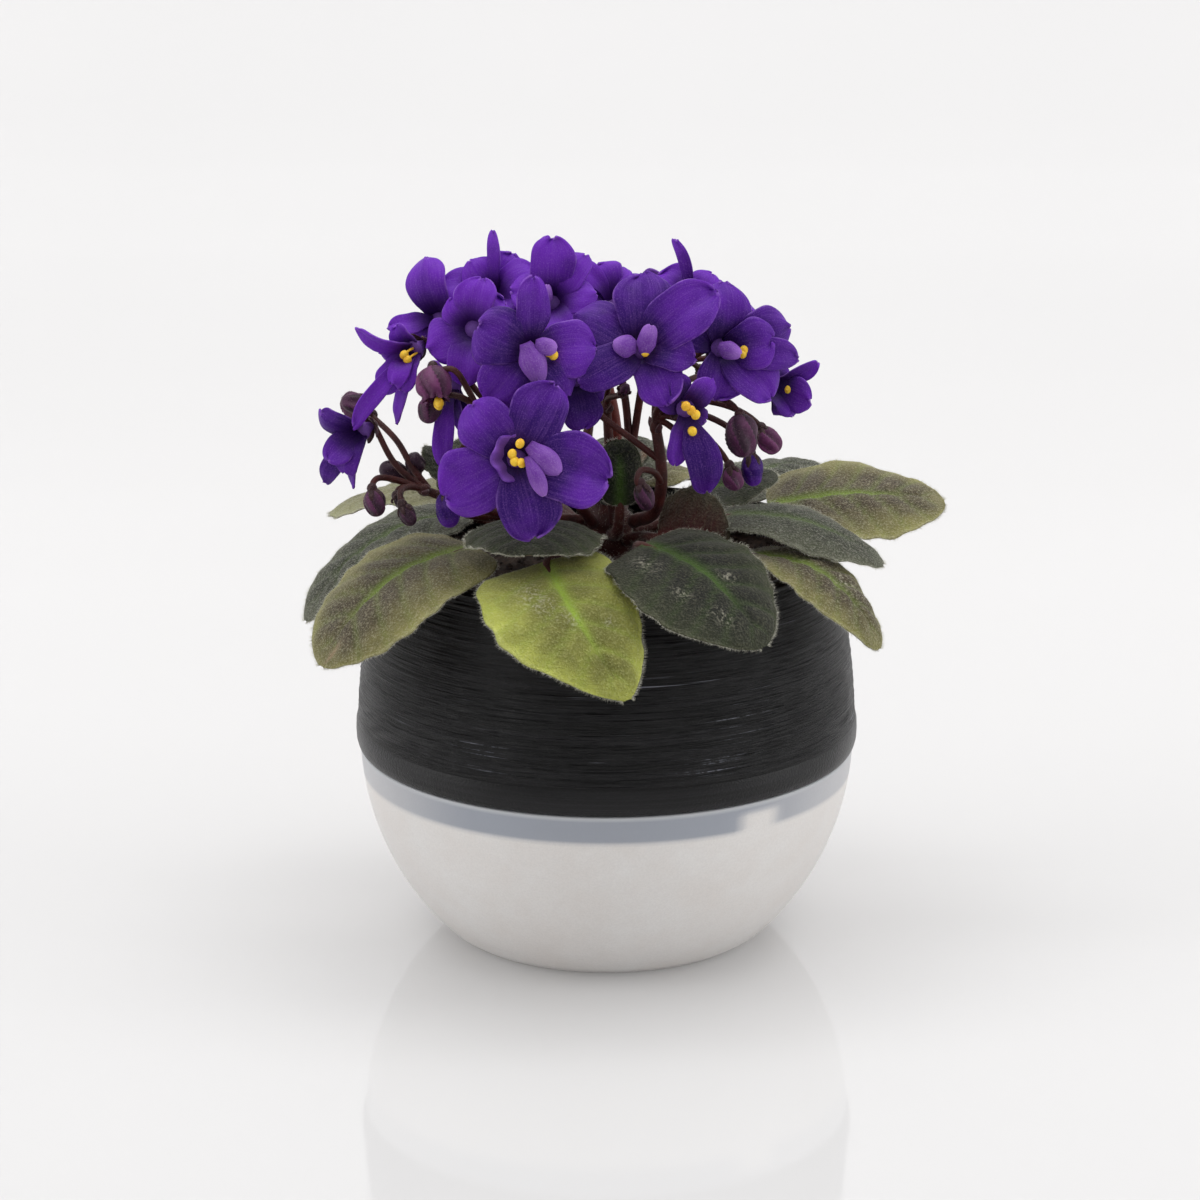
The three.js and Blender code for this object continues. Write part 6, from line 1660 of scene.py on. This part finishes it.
leaf_looks = {name: leaf_material(f"leaf {name}", *look) for name, look in LEAF_LOOKS.items()}
hair = hair_material("plant hair", (184, 182, 164), (226, 224, 210))
stalk_hair = hair_material("stalk hair", (150, 118, 112), (188, 158, 150))
leaf_furs = {tint: hair_material(f"{tint} fur", *tones) for tint, tones in FUR_TONES.items()}
petiole_skin = stalk_material("petiole skin", (50, 14, 16), (96, 44, 34), (170, 140, 120), 0.08)
red_stalk = stalk_material("flower stalk skin", (42, 10, 12), (108, 44, 36), (150, 110, 100), 0.05, 0.04)
sepal_skin = stalk_material("sepal skin", (38, 14, 18), (84, 40, 50), (150, 120, 120), 0.15, 0.08)
bud_skin = stalk_material("bud skin", (40, 10, 34), (116, 50, 102), (176, 140, 164), 0.06, 0.08)
# the last colour of each is the throat's: a deeper violet, and painted shade in the funnel
violet = petal_material("petal violet", (44, 6, 94), (100, 34, 168), (162, 112, 208), (22, 2, 46))
lilac = petal_material("petaloid lilac", (104, 54, 150), (158, 108, 200), (206, 170, 226), (64, 24, 100))
yellow = anther_material()


def add_pot():
    add_piece("bowl_frosted", bowl(), [bowl_material()], ["reservoir_bowl"])
    plastic = shell_material()
    planter = joined([planter_sleeve(), planter_insert()])
    add_piece("planter_grooved", planter, [plastic], ["planter_shell"])
    add_piece("soil_crumbly", soil(), [soil_material()], ["soil"])


def add_crown():
    made = crown()
    add_piece("crown_young_leaves", made, [leaf_looks["dark"], petiole_skin], ["crown"])
    add_piece("crown_hairs", fuzz(made, CROWN_HAIR_COUNT, CROWN_HAIR_LENGTH), [hair])


def add_leaf(leaf):
    name, tint = f"leaf_{leaf['name']}", leaf["tint"]
    blade_shape, rim, rim_normal = blade(leaf)
    stem = petiole(leaf)
    whole = joined([blade_shape, stem])
    look = leaf_looks[leaf.get("look", tint)]
    add_piece(f"{name}_blade", whole, [look, petiole_skin], [name])
    hairs = leaf_hairs(blade_shape, stem, rim, rim_normal, leaf)
    add_piece(f"{name}_hairs", hairs, [hair, leaf_furs[tint]])


def add_bloom(bloom):
    name = bloom["name"]
    add_piece(f"bloom_{name}_petals", corolla(bloom), [violet, lilac], [f"bloom_{name}"])
    if bloom.get("anthers"):
        add_piece(f"anthers_{name}_lobes", anthers(bloom), [yellow], [f"anthers_{name}"])


def add_spray(data):
    name = f"spray_{data['name']}"
    whole = spray(data)
    skins = [red_stalk, sepal_skin, bud_skin, violet, yellow]
    add_piece(f"{name}_stalks", whole, skins, [name])
    hairs = fuzz(whole, SPRAY_HAIR_COUNT, SPRAY_HAIR_LENGTH, radius=SPRAY_HAIR_RADIUS)
    add_piece(f"{name}_hairs", hairs, [stalk_hair])


add_pot()
add_crown()
for leaf in LEAVES:
    add_leaf(leaf)
for bloom in BLOOMS:
    add_bloom(bloom)
for data in SPRAYS:
    add_spray(data)


# studio

SWEEP_WIDTH = 3600
SWEEP_START = 420
SWEEP_RADIUS = 700
SWEEP_FRONT = -3000
SWEEP_TOP = 2200

# each soft panel's name, place, target, size and power, in metres and watts
PANELS = [
    ("panel top", (0, -0.05, 1.7), (0, 0, 0.1), (1.8, 1.6), 13),
    ("panel left", (-1.5, -0.25, 0.6), (0, 0, 0.08), (1.2, 1.4), 8),
    ("panel right", (1.5, -0.25, 0.6), (0, 0, 0.08), (1.2, 1.4), 8.6),
    ("panel front", (0, -2.2, 1.0), (0, 0, 0.1), (1.8, 1.0), 4.2),
    ("panel wall", (0, 0.2, 1.9), (0, 1.1, 0.5), (2.4, 0.6), 15),
]
WORLD_STRENGTH = 0.45

CAMERA_PLACE = (-0.0017, -1.1, 0.4099)
CAMERA_PITCH = 16.29
CAMERA_LENS = 132.8


def studio_sweep():
    """Floor that curves up into a wall: flat to SWEEP_START, a quarter circle, then upright."""
    arc = np.linspace(0, np.pi / 2, 40)
    flat = np.linspace(SWEEP_FRONT, SWEEP_START, 12)[:-1]
    y = np.concatenate([flat, SWEEP_START + SWEEP_RADIUS * np.sin(arc), [SWEEP_START + SWEEP_RADIUS]])
    z = np.concatenate([np.zeros(len(flat)), SWEEP_RADIUS * (1 - np.cos(arc)), [SWEEP_TOP]])
    x = np.linspace(-SWEEP_WIDTH / 2, SWEEP_WIDTH / 2, 12)
    grid = np.stack(np.broadcast_arrays(x[:, None], y[None], z[None]), -1)
    index = np.arange(grid.shape[0] * grid.shape[1]).reshape(grid.shape[:2])
    mesh = bpy.data.meshes.new("studio floor")
    mesh.from_pydata((grid.reshape(-1, 3) * MM).tolist(), [], grid_triangles(index).tolist())
    mesh.polygons.foreach_set("use_smooth", np.ones(len(mesh.polygons), bool))
    mesh.materials.append(floor_material())
    floor = bpy.data.objects.new("studio_floor", mesh)
    bpy.context.scene.collection.objects.link(floor)


def panel(name, place, target, size, power):
    """A soft light panel that faces its target."""
    light = bpy.data.lights.new(name, "AREA")
    light.shape = "RECTANGLE"
    light.size, light.size_y = size
    light.energy = power
    holder = bpy.data.objects.new(name, light)
    holder.location = place
    direction = Vector(target) - Vector(place)
    holder.rotation_euler = direction.to_track_quat("-Z", "Y").to_euler()
    bpy.context.scene.collection.objects.link(holder)


def studio():
    """The sweep, the panels, and an even white light from all round."""
    studio_sweep()
    for values in PANELS:
        panel(*values)
    world = bpy.data.worlds.new("studio")
    world.use_nodes = True
    background = world.node_tree.nodes["Background"]
    background.inputs["Color"].default_value = WHITE
    background.inputs["Strength"].default_value = WORLD_STRENGTH
    scene = bpy.context.scene
    scene.world = world
    scene.view_settings.view_transform = "Standard"


def camera():
    """The photograph's viewpoint: 16.3 degrees above the object, 1.1 m in front of it."""
    data = bpy.data.cameras.new("camera")
    data.lens = CAMERA_LENS
    data.sensor_width = 36
    data.clip_start, data.clip_end = 0.05, 20
    holder = bpy.data.objects.new("camera", data)
    holder.location = CAMERA_PLACE
    holder.rotation_euler = (math.radians(90 - CAMERA_PITCH), 0, 0)
    bpy.context.scene.collection.objects.link(holder)
    bpy.context.scene.camera = holder


studio()
camera()
